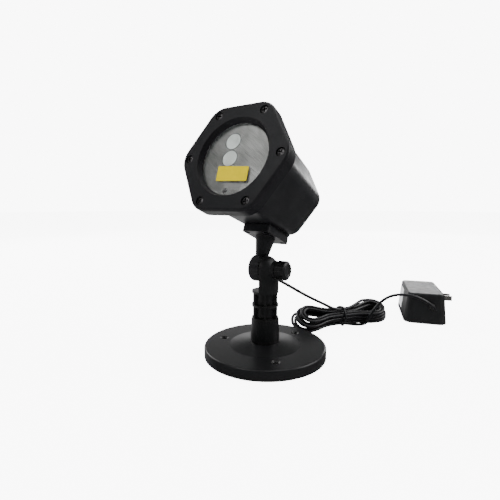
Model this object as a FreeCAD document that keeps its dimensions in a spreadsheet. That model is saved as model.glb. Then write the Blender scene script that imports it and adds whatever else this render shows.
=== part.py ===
import FreeCAD, Part
import math
import os
import re

import Sketcher
from FreeCAD import Placement, Rotation, Vector

# Driving dimensions, in millimetres and degrees
SIZES = {
    # Weighted base
    "base_radius": 58.2,
    "base_height": 10.1,
    "base_wall": 2.4,
    "base_edge_round": 1.8,
    "skirt_gap": 0.5,
    "pad_thickness": 2.2,
    "weight_inner_radius": 9.0,
    "rim_width": 24.3,
    "hub_rise": 3.1,
    "socket_wall": 1.75,
    "socket_draft": 0.8,
    "socket_rim_height": 34.7,
    "socket_floor_height": 11.0,
    "fixing_offset": 8.5,
    "fixing_hole_radius": 2.5,
    "fixing_hole_sink": 1.5,
    "fixing_hole_turn": -47.4,
    "fixing_hole_count": 3,
    "weight_screw_inset": 9.9,
    "seat_gap": 0.15,
    # Ribbed post
    "post_radius": 12.6,
    "post_shoulder": 1.4,
    "post_rib_depth": 3.4,
    "post_rib_count": 6,
    "post_rib_width": 2.2,
    "post_ring_height": 2.1,
    "shelf_gap": 7.88,
    # Tilt hinge
    "hinge_height": 83.03,
    "knuckle_radius": 12.5,
    "knuckle_round": 2.6,
    "lap_gap": 0.15,
    "notch_count": 28,
    "notch_width": 1.3,
    "notch_depth": 1.2,
    "notch_reach": 2.2,
    "clamp_bolt_radius": 3.0,
    "running_gap": 0.06,
    "bolt_head_width": 10.0,
    "bolt_head_height": 4.2,
    "knob_boss_proud": 0.15,
    "knob_boss_radius": 8.3,
    "knob_gap": 0.15,
    "knob_radius": 8.4,
    "knob_length": 10.8,
    "knob_collar_length": 1.5,
    "knob_collar_step": 0.8,
    "knob_chamfer": 1.4,
    "knob_rim": 1.4,
    "knob_dish_depth": 0.9,
    "knob_rib_count": 24,
    "knob_rib_height": 0.5,
    "knob_rib_width": 1.0,
    "insert_radius": 4.6,
    "insert_length": 7.0,
    # Tilt bracket
    "head_tilt": 21.21,
    "head_offset": -6.4,
    "mount_drop": 1.6,
    "neck_foot_radius": 5.0,
    "neck_foot_rise": 6.0,
    "neck_gap": 0.155,
    "neck_top_radius": 10.25,
    "block_bottom": 29.8,
    "block_height": 7.2,
    "block_width": 28.6,
    "block_length": 43.0,
    "block_corner": 3.0,
    "bracket_gasket_thickness": 0.8,
    "bracket_screw_side": 3.7,
    "bracket_screw_end": 4.3,
    "bracket_screw_grip": 3.6,
    "bracket_screw_bite": 7.0,
    "screw_radius": 1.5,
    "screw_head_radius": 2.6,
    "screw_head_height": 1.8,
    "screw_head_gap": 0.35,
    "grommet_across": -7.0,
    "grommet_from_screw": 5.6,
    "grommet_root_radius": 2.6,
    "grommet_tip_radius": 2.1,
    "grommet_length": 11.0,
    "grommet_stem_radius": 2.0,
    # Lamp body
    "bezel_front": 78.0,
    "bezel_depth": 12.0,
    "bezel_apothem": 47.0,
    "bezel_corner": 17.5,
    "bezel_edge_round": 2.2,
    "window_margin": 12.4,
    "lip_taper": 2.6,
    "lip_depth": 4.2,
    "seal_thickness": 0.6,
    "glass_overlap": 4.4,
    "glass_thickness": 2.0,
    "plate_thickness": 1.5,
    "plate_ledge": 0.5,
    "plate_ledge_width": 3.4,
    "bezel_gasket_thickness": 0.8,
    "bezel_wall": 3.0,
    "flange_thickness": 4.0,
    "bezel_screw_inset": 6.96,
    "bezel_screw_count": 6,
    "bezel_screw_sink": 2.4,
    "bezel_sink_gap": 1.2,
    "bezel_screw_bite": 3.0,
    "flange_lip": 4.4,
    "shell_taper": 3.0,
    "shell_corner": 13.0,
    "shell_rear": 26.0,
    "shell_rear_round": 8.0,
    "shell_wall": 2.6,
    "mount_pad_height": 4.0,
    "boss_radius": 3.4,
    # Optics and electronics
    "grating_across": -6.5,
    "grating_inset": 15.0,
    "grating_gap": 1.5,
    "grating_radius": 7.0,
    "grating_thickness": 1.0,
    "aperture_radius": 4.6,
    "module_radius": 6.0,
    "module_nose_radius": 3.6,
    "module_nose_length": 2.0,
    "module_length": 26.0,
    "module_tail_radius": 4.6,
    "module_tail_length": 5.0,
    "holder_width": 19.0,
    "holder_rim": 4.0,
    "holder_length": 20.0,
    "receiver_across": -4.3,
    "receiver_inset": 4.4,
    "receiver_radius": 2.2,
    "receiver_length": 7.5,
    "receiver_flange_radius": 3.2,
    "receiver_sink": 0.4,
    "board_width": 34.0,
    "board_length": 54.0,
    "board_thickness": 1.6,
    "board_rise": 12.6,
    "board_front": 41.0,
    "board_screw_inset": 3.6,
    "board_boss_root": 0.1,
    # Lead and wall adapter
    "cord_radius": 1.6,
    "adapter_x": 97.84,
    "adapter_y": 168.05,
    "adapter_turn": 15.28,
    "adapter_width": 48.0,
    "adapter_length": 85.0,
    "adapter_height": 36.4,
    "adapter_cover_height": 12.0,
    "adapter_draft": 6.0,
    "adapter_corner": 10.0,
    "adapter_edge_round": 2.0,
    "prong_spread": 12.7,
    "prong_width": 6.3,
    "prong_thickness": 1.5,
    "prong_length": 15.5,
    "prong_root": 4.0,
    "prong_rise": 22.0,
    "prong_from_back": 30.0,
    "relief_across": 30.0,
    "relief_rise": 22.0,
    "relief_length": 12.0,
    "relief_root_radius": 3.6,
    "relief_tip_radius": 2.2,
    "tie_thickness": 1.0,
    "tie_width": 3.0,
    "tie_gap": 0.4,
}

# Sizes that follow from the driving ones, each written as its formula in the sheet
DERIVED = {
    "hub_foot_radius": "base_radius - rim_width",
    "fixing_circle_radius": "hub_foot_radius + fixing_offset",
    "weight_screw_circle": "hub_foot_radius - weight_screw_inset",
    "plug_radius": "post_radius - post_shoulder",
    "socket_rim_radius": "plug_radius + seat_gap + socket_wall",
    "socket_foot_radius": "socket_rim_radius + socket_draft",
    "post_core_radius": "post_radius - post_rib_depth",
    "shelf_height": "hinge_height - knuckle_radius - shelf_gap",
    "knob_seat": "post_radius + knob_boss_proud",
    "knob_collar_radius": "knob_radius - knob_collar_step",
    "knob_dish_radius": "knob_radius - knob_chamfer - knob_rim",
    "neck_waist_radius": "-head_offset - neck_gap",
    "bracket_screw_across": "block_width / 2 - bracket_screw_side",
    "bracket_screw_along": "block_length / 2 - bracket_screw_end",
    "grommet_back": "bracket_screw_along - grommet_from_screw",
    "window_radius": "bezel_apothem - window_margin",
    "lip_radius": "window_radius - lip_taper",
    "glass_radius": "lip_radius + glass_overlap",
    "plate_ledge_radius": "glass_radius - plate_ledge_width",
    "flange_apothem": "bezel_apothem - bezel_wall",
    "flange_corner": "bezel_corner - bezel_wall",
    "bezel_reach": "(bezel_apothem - bezel_corner) / cos(30) + bezel_corner",
    "bezel_screw_circle": "bezel_reach - bezel_screw_inset",
    "shell_front_apothem": "flange_apothem - flange_lip",
    "shell_rear_apothem": "shell_front_apothem - shell_taper",
    "block_top": "block_bottom + block_height",
    "head_rise": "block_top + bracket_gasket_thickness + shell_rear_apothem + mount_drop",
    "red_grating_up": "lip_radius - grating_inset",
    "green_grating_up": "red_grating_up - 2 * grating_radius - grating_gap",
    "receiver_up": "receiver_inset - lip_radius",
    "board_up": "board_rise - shell_rear_apothem",
    "board_boss_foot": "-shell_rear_apothem - board_boss_root",
    "prong_face": "adapter_width - prong_rise * tan(adapter_draft)",
    "relief_face": "(relief_rise - relief_root_radius) * tan(adapter_draft)",
}

doc = FreeCAD.newDocument("laser_show_projector")
sheet = doc.addObject("Spreadsheet::Sheet", "Sizes")
formulas = {name: f"={formula}" for name, formula in DERIVED.items()}
for row, (size_name, size_value) in enumerate({**SIZES, **formulas}.items(), start=1):
    sheet.set(f"A{row}", size_name)
    sheet.setAlias(f"B{row}", size_name)
    sheet.set(f"B{row}", str(size_value))
doc.recompute()

sub_parts = []


def bound(expression):
    """The expression with each size written as its cell of the sheet."""
    known = set(SIZES) | set(DERIVED)
    return re.sub(r"[a-z_]+", lambda word: f"Sizes.{word[0]}" if word[0] in known else word[0], expression)


def number(expression):
    """The present value of an expression in the sizes."""
    return float(sheet.evalExpression(bound(expression)))


def size(name):
    return float(sheet.get(name))


def new_body(label):
    """An empty body, listed as a sub-part under its own name."""
    body = doc.addObject("PartDesign::Body", label)
    body.Label = label
    sub_parts.append(body)
    return body


def solid_feature(label, shape, placement=None):
    """A sub-part whose shape is worked out here rather than by features."""
    feature = doc.addObject("Part::Feature", label)
    feature.Label = label
    feature.Shape = shape
    if placement is not None:
        feature.Placement = placement
    sub_parts.append(feature)
    return feature


def origin_feature(body, role):
    return next(item for item in body.Origin.OriginFeatures if item.Role == role)


def new_sketch(body, plane, x="0", y="0", z="0"):
    """A sketch on one of the body's own planes, moved by x and y in the plane and z along its normal."""
    sketch = body.newObject("Sketcher::SketchObject", f"{body.Label}_sketch")
    sketch.AttachmentSupport = [(origin_feature(body, plane), "")]
    sketch.MapMode = "FlatFace"
    for axis, expression in (("x", x), ("y", y), ("z", z)):
        if expression != "0":
            sketch.setExpression(f"AttachmentOffset.Base.{axis}", bound(expression))
    return sketch


def tie_point(sketch, geometry, point, x, y):
    """Hold a sketch point at x and y, given in the sizes."""
    for kind, axis, expression in (("DistanceX", -2, x), ("DistanceY", -1, y)):
        if expression == "0":
            sketch.addConstraint(Sketcher.Constraint("PointOnObject", geometry, point, axis))
        else:
            value = number(expression)
            index = sketch.addConstraint(Sketcher.Constraint(kind, -1, 1, geometry, point, value))
            sketch.setExpression(f"Constraints[{index}]", bound(expression))


def tie_radius(sketch, geometry, expression):
    index = sketch.addConstraint(Sketcher.Constraint("Radius", geometry, number(expression)))
    sketch.setExpression(f"Constraints[{index}]", bound(expression))


def polygon(sketch, points):
    """A closed outline of straight lines through points given in the sizes."""
    corners = [Vector(number(x), number(y), 0) for x, y in points]
    first = sketch.GeometryCount
    for start, end in zip(corners, corners[1:] + corners[:1]):
        sketch.addGeometry(Part.LineSegment(start, end))
    for i, (x, y) in enumerate(points):
        before = first + (i - 1) % len(points)
        sketch.addConstraint(Sketcher.Constraint("Coincident", before, 2, first + i, 1))
        tie_point(sketch, first + i, 1, x, y)
    return sketch


def rectangle(sketch, x_low, x_high, y_low, y_high):
    return polygon(sketch, [(x_low, y_low), (x_high, y_low), (x_high, y_high), (x_low, y_high)])


def circle(sketch, radius, x="0", y="0"):
    centre = Vector(number(x), number(y), 0)
    index = sketch.addGeometry(Part.Circle(centre, Vector(0, 0, 1), number(radius)))
    tie_point(sketch, index, 3, x, y)
    tie_radius(sketch, index, radius)
    return sketch


def rounded_hexagon(sketch, apothem, corner):
    """A hexagon with flats at top and bottom and rounded corners: six arcs joined by tangent lines."""
    reach = f"(({apothem}) - ({corner})) / cos(30)"
    first = sketch.GeometryCount
    for k in range(6):
        middle = math.radians(60 * k)
        centre = Vector(math.cos(middle), math.sin(middle), 0) * number(reach)
        arc_circle = Part.Circle(centre, Vector(0, 0, 1), number(corner))
        sketch.addGeometry(Part.ArcOfCircle(arc_circle, middle - math.pi / 6, middle + math.pi / 6))
    for k in range(6):
        start = sketch.getPoint(first + k, 2)
        end = sketch.getPoint(first + (k + 1) % 6, 1)
        sketch.addGeometry(Part.LineSegment(start, end))
    for k in range(6):
        height = f"{reach} * sin({60 * k})" if k % 3 else "0"
        tie_point(sketch, first + k, 3, f"{reach} * cos({60 * k})", height)
        tie_radius(sketch, first + k, corner)
        sketch.addConstraint(Sketcher.Constraint("Tangent", first + k, 2, first + 6 + k, 1))
        sketch.addConstraint(Sketcher.Constraint("Tangent", first + 6 + k, 2, first + (k + 1) % 6, 1))
    return sketch


def rounded_rectangle(sketch, x_low, x_high, y_low, y_high, corner):
    """A rectangle with rounded corners: four arcs joined by tangent lines."""
    centres = [
        (f"{x_high} - {corner}", f"{y_high} - {corner}"),
        (f"{x_low} + {corner}", f"{y_high} - {corner}"),
        (f"{x_low} + {corner}", f"{y_low} + {corner}"),
        (f"{x_high} - {corner}", f"{y_low} + {corner}"),
    ]
    first = sketch.GeometryCount
    for k, (x, y) in enumerate(centres):
        arc_circle = Part.Circle(Vector(number(x), number(y), 0), Vector(0, 0, 1), number(corner))
        sketch.addGeometry(Part.ArcOfCircle(arc_circle, math.pi / 2 * k, math.pi / 2 * (k + 1)))
    for k in range(4):
        start = sketch.getPoint(first + k, 2)
        end = sketch.getPoint(first + (k + 1) % 4, 1)
        sketch.addGeometry(Part.LineSegment(start, end))
    for k, (x, y) in enumerate(centres):
        tie_point(sketch, first + k, 3, x, y)
        tie_radius(sketch, first + k, corner)
        sketch.addConstraint(Sketcher.Constraint("Tangent", first + k, 2, first + 4 + k, 1))
        sketch.addConstraint(Sketcher.Constraint("Tangent", first + 4 + k, 2, first + (k + 1) % 4, 1))
    return sketch


def pad(body, sketch, length):
    """Raise a sketch along its normal."""
    feature = body.newObject("PartDesign::Pad", f"{body.Label}_pad")
    feature.Profile = sketch
    feature.setExpression("Length", bound(length))
    return feature


def cut(body, sketch, depth, along_normal=False):
    """Cut a sketch into the body, against its normal unless told otherwise, and see that it cuts."""
    doc.recompute()
    before = body.Shape.Volume
    feature = body.newObject("PartDesign::Pocket", f"{body.Label}_cut")
    feature.Profile = sketch
    feature.setExpression("Length", bound(depth))
    feature.Reversed = along_normal
    doc.recompute()
    if body.Shape.Volume >= before - 1e-6:
        raise RuntimeError(f"{feature.Name} cuts nothing from {body.Label}")
    return feature


def turn(body, sketch, axis="V_Axis"):
    """Revolve a profile about one of its sketch's axes."""
    feature = body.newObject("PartDesign::Revolution", f"{body.Label}_turn")
    feature.Profile = sketch
    feature.ReferenceAxis = (sketch, [axis])
    feature.Angle = 360
    return feature


def groove(body, sketch, axis="V_Axis"):
    """Turn a profile out of the body, and see that it cuts."""
    doc.recompute()
    before = body.Shape.Volume
    feature = body.newObject("PartDesign::Groove", f"{body.Label}_groove")
    feature.Profile = sketch
    feature.ReferenceAxis = (sketch, [axis])
    feature.Angle = 360
    doc.recompute()
    if body.Shape.Volume >= before - 1e-6:
        raise RuntimeError(f"{feature.Name} cuts nothing from {body.Label}")
    return feature


def repeat_round(body, features, axis, count):
    """Repeat features evenly round an axis."""
    pattern = body.newObject("PartDesign::PolarPattern", f"{body.Label}_pattern")
    pattern.Originals = features
    pattern.Axis = axis
    pattern.Angle = 360
    pattern.setExpression("Occurrences", bound(count))
    body.Tip = pattern
    return pattern


def dress_edges(body, kind, sizing, amount, chosen):
    """Fillet or chamfer the edges that a test chooses."""
    doc.recompute()
    tip = body.Tip
    names = [f"Edge{i}" for i, edge in enumerate(tip.Shape.Edges, start=1) if chosen(edge)]
    if not names:
        raise RuntimeError(f"{body.Label} has no such edge")
    feature = body.newObject(f"PartDesign::{kind}", f"{body.Label}_{kind.lower()}")
    feature.Base = (tip, names)
    feature.setExpression(sizing, bound(amount))
    return feature


def fillet(body, radius, chosen):
    return dress_edges(body, "Fillet", "Radius", radius, chosen)


def chamfer(body, width, chosen):
    return dress_edges(body, "Chamfer", "Size", width, chosen)


def lies_at(edge, axis, value):
    """Whether an edge lies wholly in the plane where the named coordinate has this value."""
    return all(abs(getattr(vertex.Point, axis) - value) < 1e-3 for vertex in edge.Vertexes)


def is_circle(edge, radius):
    return edge.Curve.TypeId == "Part::GeomCircle" and abs(edge.Curve.Radius - radius) < 1e-3


def place(body, x="0", y="0", z="0", angle=None, axis=Vector(1, 0, 0)):
    """Set a body in the part's frame, by expressions in the sizes."""
    if angle is not None:
        body.Placement = Placement(Vector(), Rotation(axis, number(angle)))
        body.setExpression("Placement.Rotation.Angle", bound(angle))
    for name, expression in (("x", x), ("y", y), ("z", z)):
        body.setExpression(f"Placement.Base.{name}", bound(expression))


def on_hinge(body):
    """Set a piece of the tilting head that is drawn from the hinge axis."""
    place(body, z="hinge_height", angle="-head_tilt")


def on_lamp_axis(body):
    """Set a piece of the head that is drawn from the lamp's own axis, which runs forward along -Y."""
    rise = "head_rise * sin(head_tilt)"
    place(body, "head_offset", rise, "hinge_height + head_rise * cos(head_tilt)", "-head_tilt")


def lamp_placement():
    """The same setting for a sub-part that is not a body."""
    tilt = math.radians(size("head_tilt"))
    rise = size("head_rise")
    base = Vector(size("head_offset"), rise * math.sin(tilt), size("hinge_height") + rise * math.cos(tilt))
    return Placement(base, Rotation(Vector(1, 0, 0), -size("head_tilt")))


def screw(head_radius, head_height, shank_radius, length):
    """A pan-head screw that stands on its tip at the origin, head up."""
    shank = Part.makeCylinder(shank_radius, length)
    head = Part.makeCylinder(head_radius, head_height, Vector(0, 0, length))
    return shank.fuse(head).removeSplitter()


def screw_group(label, points, direction, length, placement=None):
    """Equal screws whose tips stand at the points and whose heads lie along the direction."""
    one = screw(size("screw_head_radius"), size("screw_head_height"), size("screw_radius"), length)
    aim = Rotation(Vector(0, 0, 1), direction)
    copies = []
    for point in points:
        copy = one.copy()
        copy.Placement = Placement(point, aim)
        copies.append(copy)
    return solid_feature(label, Part.makeCompound(copies), placement)


def ring_points(radius, count, start_angle=0.0):
    """Points spaced evenly on a circle, as expressions."""
    return [(f"({radius}) * cos({start_angle} + 360 / {count} * {k})",
             f"({radius}) * sin({start_angle} + 360 / {count} * {k})") for k in range(count)]


# Base: a turned cover with a socket, a steel weight inside it and a soft pad underneath
FIXINGS = ring_points("fixing_circle_radius", int(size("fixing_hole_count")), "fixing_hole_turn")
WEIGHT_SCREWS = ring_points("weight_screw_circle", 3, "fixing_hole_turn + 60")
CAVITY_TOP = "(base_height - base_wall)"


def make_base_shell():
    body = new_body("base_shell")
    profile = polygon(new_sketch(body, "XZ_Plane"), [
        ("base_radius", "skirt_gap"),
        ("base_radius", "base_height"),
        ("hub_foot_radius", "base_height"),
        ("socket_foot_radius", "base_height + hub_rise"),
        ("socket_rim_radius", "socket_rim_height"),
        ("plug_radius + seat_gap", "socket_rim_height"),
        ("plug_radius + seat_gap", "socket_floor_height"),
        ("0", "socket_floor_height"),
        ("0", CAVITY_TOP),
        ("base_radius - base_wall", CAVITY_TOP),
        ("base_radius - base_wall", "skirt_gap"),
    ])
    turn(body, profile)
    top = size("base_height")
    fillet(body, "base_edge_round",
           lambda edge: is_circle(edge, size("base_radius")) and lies_at(edge, "z", top))
    holes = new_sketch(body, "XY_Plane", z="base_height")
    for x, y in FIXINGS:
        circle(holes, "fixing_hole_radius", x, y)
    cut(body, holes, "2 * base_wall")
    chamfer(body, "fixing_hole_sink",
            lambda edge: is_circle(edge, size("fixing_hole_radius")) and lies_at(edge, "z", top))
    pilots = new_sketch(body, "XY_Plane", z=CAVITY_TOP)
    for x, y in WEIGHT_SCREWS:
        circle(pilots, "screw_radius + seat_gap", x, y)
    cut(body, pilots, "base_wall", along_normal=True)


def make_base_weight():
    body = new_body("base_weight")
    disc = new_sketch(body, "XY_Plane", z="pad_thickness")
    circle(disc, "base_radius - base_wall - 2 * seat_gap")
    circle(disc, "weight_inner_radius")
    for x, y in FIXINGS:
        circle(disc, "fixing_hole_radius + fixing_hole_sink", x, y)
    for x, y in WEIGHT_SCREWS:
        circle(disc, "screw_radius + seat_gap", x, y)
    pad(body, disc, f"{CAVITY_TOP} - pad_thickness")
    sinks = new_sketch(body, "XY_Plane", z="pad_thickness")
    for x, y in WEIGHT_SCREWS:
        circle(sinks, "screw_head_radius + seat_gap", x, y)
    cut(body, sinks, "screw_head_height", along_normal=True)


def make_base_pad():
    body = new_body("base_pad")
    disc = new_sketch(body, "XY_Plane")
    circle(disc, "base_radius - base_wall - 2 * seat_gap")
    for x, y in FIXINGS:
        circle(disc, "fixing_hole_radius + fixing_hole_sink", x, y)
    pad(body, disc, "pad_thickness")


def make_weight_screws():
    length = number(f"{CAVITY_TOP} + 0.8 * base_wall - pad_thickness - screw_head_height")
    tip = number(f"{CAVITY_TOP} + 0.8 * base_wall")
    points = [Vector(number(x), number(y), tip) for x, y in WEIGHT_SCREWS]
    screw_group("weight_screws", points, Vector(0, 0, -1), length)


# Post: a plug for the socket, a ribbed shaft and the fixed half of the tilt hinge
RING = "post_ring_height"
ROW = "(shelf_height - socket_rim_height - 3 * post_ring_height) / 2"


def make_post():
    body = new_body("post")
    foot = "socket_floor_height + seat_gap"
    low_row = f"socket_rim_height + {RING}"
    mid_ring = f"{low_row} + {ROW}"
    high_row = f"{mid_ring} + {RING}"
    turn(body, polygon(new_sketch(body, "XZ_Plane"), [
        ("0", foot),
        ("plug_radius", foot),
        ("plug_radius", "socket_rim_height"),
        ("post_radius", "socket_rim_height"),
        ("post_radius", low_row),
        ("post_core_radius", low_row),
        ("post_core_radius", mid_ring),
        ("post_radius", mid_ring),
        ("post_radius", high_row),
        ("post_core_radius", high_row),
        ("post_core_radius", f"shelf_height - {RING}"),
        ("post_radius", f"shelf_height - {RING}"),
        ("post_radius", "shelf_height"),
        ("0", "shelf_height"),
    ]))
    rib_sketch = new_sketch(body, "XY_Plane", z=f"socket_rim_height + {RING} / 2")
    half_rib = "post_rib_width / 2"
    rectangle(rib_sketch, "post_core_radius - 1", "post_radius - 0.1", f"-{half_rib}", half_rib)
    rib = pad(body, rib_sketch, f"shelf_height - socket_rim_height - {RING}")
    repeat_round(body, [rib], (origin_feature(body, "Z_Axis"), [""]), "post_rib_count")
    make_post_lap(body)


def make_post_lap(body):
    """The upright half above the shelf, round outside, flat on the lap face and domed over the hinge."""
    half = new_sketch(body, "XY_Plane", z="shelf_height - post_ring_height / 2")
    radius = size("post_radius")
    reach = math.sqrt(radius ** 2 - size("lap_gap") ** 2)
    start = math.asin(size("lap_gap") / radius) - math.pi / 2
    outer = Part.Circle(Vector(), Vector(0, 0, 1), radius)
    half.addGeometry(Part.ArcOfCircle(outer, start, -start))
    gap = size("lap_gap")
    half.addGeometry(Part.LineSegment(Vector(gap, reach, 0), Vector(gap, -reach, 0)))
    half.addConstraint(Sketcher.Constraint("Coincident", 0, 3, -1, 1))
    half.addConstraint(Sketcher.Constraint("Coincident", 0, 2, 1, 1))
    half.addConstraint(Sketcher.Constraint("Coincident", 1, 2, 0, 1))
    half.addConstraint(Sketcher.Constraint("Vertical", 1))
    tie_radius(half, 0, "post_radius")
    index = half.addConstraint(Sketcher.Constraint("DistanceX", -1, 1, 1, 1, size("lap_gap")))
    half.setExpression(f"Constraints[{index}]", bound("lap_gap"))
    pad(body, half, "hinge_height + post_radius - shelf_height + post_ring_height / 2")

    waste = new_sketch(body, "XZ_Plane")
    wide, tall = "post_radius + 1", "hinge_height + post_radius + 1"
    hinge = size("hinge_height")
    path = [Vector(0, hinge + radius, 0), Vector(0, number(tall), 0), Vector(number(wide), number(tall), 0),
            Vector(number(wide), hinge, 0), Vector(radius, hinge, 0)]
    for begin, end in zip(path, path[1:]):
        waste.addGeometry(Part.LineSegment(begin, end))
    dome = Part.Circle(Vector(0, hinge, 0), Vector(0, 0, 1), radius)
    waste.addGeometry(Part.ArcOfCircle(dome, 0, math.pi / 2))
    for i in range(3):
        waste.addConstraint(Sketcher.Constraint("Coincident", i, 2, i + 1, 1))
    waste.addConstraint(Sketcher.Constraint("Coincident", 3, 2, 4, 1))
    waste.addConstraint(Sketcher.Constraint("Coincident", 4, 2, 0, 1))
    tie_point(waste, 4, 3, "0", "hinge_height")
    tie_radius(waste, 4, "post_radius")
    tie_point(waste, 1, 1, "0", tall)
    tie_point(waste, 2, 1, wide, tall)
    waste.addConstraint(Sketcher.Constraint("Vertical", 0))
    waste.addConstraint(Sketcher.Constraint("Vertical", 2))
    waste.addConstraint(Sketcher.Constraint("Horizontal", 3))
    groove(body, waste)

    boss = new_sketch(body, "YZ_Plane", z="post_core_radius / 2")
    circle(boss, "knob_boss_radius", "0", "hinge_height")
    pad(body, boss, "knob_seat - post_core_radius / 2")
    bore = new_sketch(body, "YZ_Plane", z="-lap_gap")
    circle(bore, "clamp_bolt_radius + running_gap", "0", "hinge_height")
    cut(body, bore, "2 * knob_seat", along_normal=True)


# Clamp: a captive bolt across the hinge and a ribbed knob with a brass insert
KNOB_FOOT = "(knob_seat + knob_gap)"


def make_clamp_bolt():
    body = new_body("clamp_bolt")
    shank = new_sketch(body, "YZ_Plane", z="bolt_head_height - post_radius")
    circle(shank, "clamp_bolt_radius")
    pad(body, shank, f"post_radius - bolt_head_height + {KNOB_FOOT} + insert_length - 0.5")
    head = new_sketch(body, "YZ_Plane", z="0.2 - post_radius")
    corner = "bolt_head_width / sqrt(3)"
    polygon(head, ring_points(corner, 6, 1e-6))
    pad(body, head, "bolt_head_height - 0.2")
    on_hinge(body)


def make_knob():
    body = new_body("knob")
    tip = f"{KNOB_FOOT} + knob_length"
    collar = f"{KNOB_FOOT} + knob_collar_length"
    turn(body, polygon(new_sketch(body, "XY_Plane"), [
        (KNOB_FOOT, "insert_radius"),
        (KNOB_FOOT, "knob_collar_radius"),
        (collar, "knob_collar_radius"),
        (collar, "knob_radius"),
        (f"{tip} - knob_chamfer", "knob_radius"),
        (tip, "knob_radius - knob_chamfer"),
        (tip, "knob_dish_radius"),
        (f"{tip} - knob_dish_depth", "knob_dish_radius - knob_dish_depth"),
        (f"{tip} - knob_dish_depth", "0"),
        (f"{KNOB_FOOT} + insert_length", "0"),
        (f"{KNOB_FOOT} + insert_length", "insert_radius"),
    ]), "H_Axis")
    rib_sketch = new_sketch(body, "YZ_Plane", z=collar)
    half = "knob_rib_width / 2"
    rectangle(rib_sketch, "knob_radius - 1", "knob_radius + knob_rib_height", f"-{half}", half)
    rib = pad(body, rib_sketch, "knob_length - knob_collar_length - knob_chamfer")
    repeat_round(body, [rib], (origin_feature(body, "X_Axis"), [""]), "knob_rib_count")
    place(body, z="hinge_height")


def make_knob_insert():
    body = new_body("knob_insert")
    ring = new_sketch(body, "YZ_Plane", z=KNOB_FOOT)
    circle(ring, "insert_radius")
    circle(ring, "clamp_bolt_radius + running_gap")
    pad(body, ring, "insert_length")
    place(body, z="hinge_height")


# Tilt bracket: the moving half of the hinge, its neck and the block under the lamp body
BLOCK_TOP = "block_top"
BLOCK_SCREWS = [(f"head_offset + {i} * bracket_screw_across", f"{j} * bracket_screw_along")
                for i in (-1, 1) for j in (-1, 1)]
GROMMET = ("head_offset + grommet_across", "grommet_back")


def make_tilt_bracket():
    body = new_body("tilt_bracket")
    disc = new_sketch(body, "YZ_Plane", z="-post_radius")
    circle(disc, "knuckle_radius")
    pad(body, disc, "post_radius - lap_gap")
    fillet(body, "knuckle_round", lambda edge: lies_at(edge, "x", -size("post_radius")))
    neck = polygon(new_sketch(body, "XZ_Plane", x="head_offset"), [
        ("0", "neck_foot_rise"),
        ("neck_foot_radius", "neck_foot_rise"),
        ("neck_waist_radius", "knuckle_radius"),
        ("neck_top_radius", "block_bottom + block_height / 2"),
        ("0", "block_bottom + block_height / 2"),
    ])
    turn(body, neck)
    block = new_sketch(body, "XY_Plane", x="head_offset", z="block_bottom")
    rectangle(block, "-block_width / 2", "block_width / 2", "-block_length / 2", "block_length / 2")
    pad(body, block, "block_height")
    fillet(body, "block_corner", lambda edge: is_block_corner(edge))
    lap_face = new_sketch(body, "YZ_Plane", z="-lap_gap")
    notch_half = "notch_width / 2"
    rectangle(lap_face, "knuckle_radius - notch_reach", "knuckle_radius + 1", f"-{notch_half}", notch_half)
    notch = cut(body, lap_face, "notch_depth")
    repeat_round(body, [notch], (origin_feature(body, "X_Axis"), [""]), "notch_count")
    bore = new_sketch(body, "YZ_Plane", z="-post_radius - 1")
    circle(bore, "clamp_bolt_radius + running_gap")
    cut(body, bore, "post_radius + 2", along_normal=True)
    hex_seat = new_sketch(body, "YZ_Plane", z="-post_radius - 1")
    polygon(hex_seat, ring_points("bolt_head_width / sqrt(3) + seat_gap", 6, 1e-6))
    cut(body, hex_seat, "bolt_head_height + 1", along_normal=True)
    make_block_holes(body)
    on_hinge(body)


def is_block_corner(edge):
    """Whether an edge is one of the four upright corners of the bracket's block."""
    ends = sorted(vertex.Point.z for vertex in edge.Vertexes)
    upright = len(ends) == 2 and abs(ends[0] - size("block_bottom")) < 1e-3
    full = upright and abs(ends[1] - size("block_top")) < 1e-3
    across = abs(edge.CenterOfMass.x - size("head_offset"))
    return full and abs(across - size("block_width") / 2) < 1e-3


def make_block_holes(body):
    through = new_sketch(body, "XY_Plane", z=f"{BLOCK_TOP} + 1")
    for x, y in BLOCK_SCREWS:
        circle(through, "screw_radius + seat_gap", x, y)
    circle(through, "grommet_stem_radius + seat_gap", *GROMMET)
    cut(body, through, "block_height + 2")
    sinks = new_sketch(body, "XY_Plane", z="block_bottom")
    for x, y in BLOCK_SCREWS:
        circle(sinks, "screw_head_radius + screw_head_gap", x, y)
    cut(body, sinks, "block_height - bracket_screw_grip", along_normal=True)


def make_bracket_gasket():
    body = new_body("bracket_gasket")
    sheet_outline = new_sketch(body, "XY_Plane", z=BLOCK_TOP)
    half_width, half_length = "block_width / 2 - block_corner / 2", "block_length / 2 - block_corner / 2"
    rectangle(sheet_outline, f"head_offset - ({half_width})", f"head_offset + {half_width}",
              f"-({half_length})", half_length)
    for x, y in BLOCK_SCREWS:
        circle(sheet_outline, "screw_radius + seat_gap", x, y)
    circle(sheet_outline, "grommet_stem_radius + seat_gap", *GROMMET)
    pad(body, sheet_outline, "bracket_gasket_thickness")
    on_hinge(body)


def make_bracket_screws():
    grip = number("bracket_screw_grip + bracket_gasket_thickness + bracket_screw_bite")
    tip = number(f"{BLOCK_TOP} + bracket_gasket_thickness + bracket_screw_bite")
    points = [Vector(number(x), number(y), tip) for x, y in BLOCK_SCREWS]
    hinge = Placement(Vector(0, 0, size("hinge_height")), Rotation(Vector(1, 0, 0), -size("head_tilt")))
    screw_group("bracket_screws", points, Vector(0, 0, -1), grip, hinge)


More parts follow.
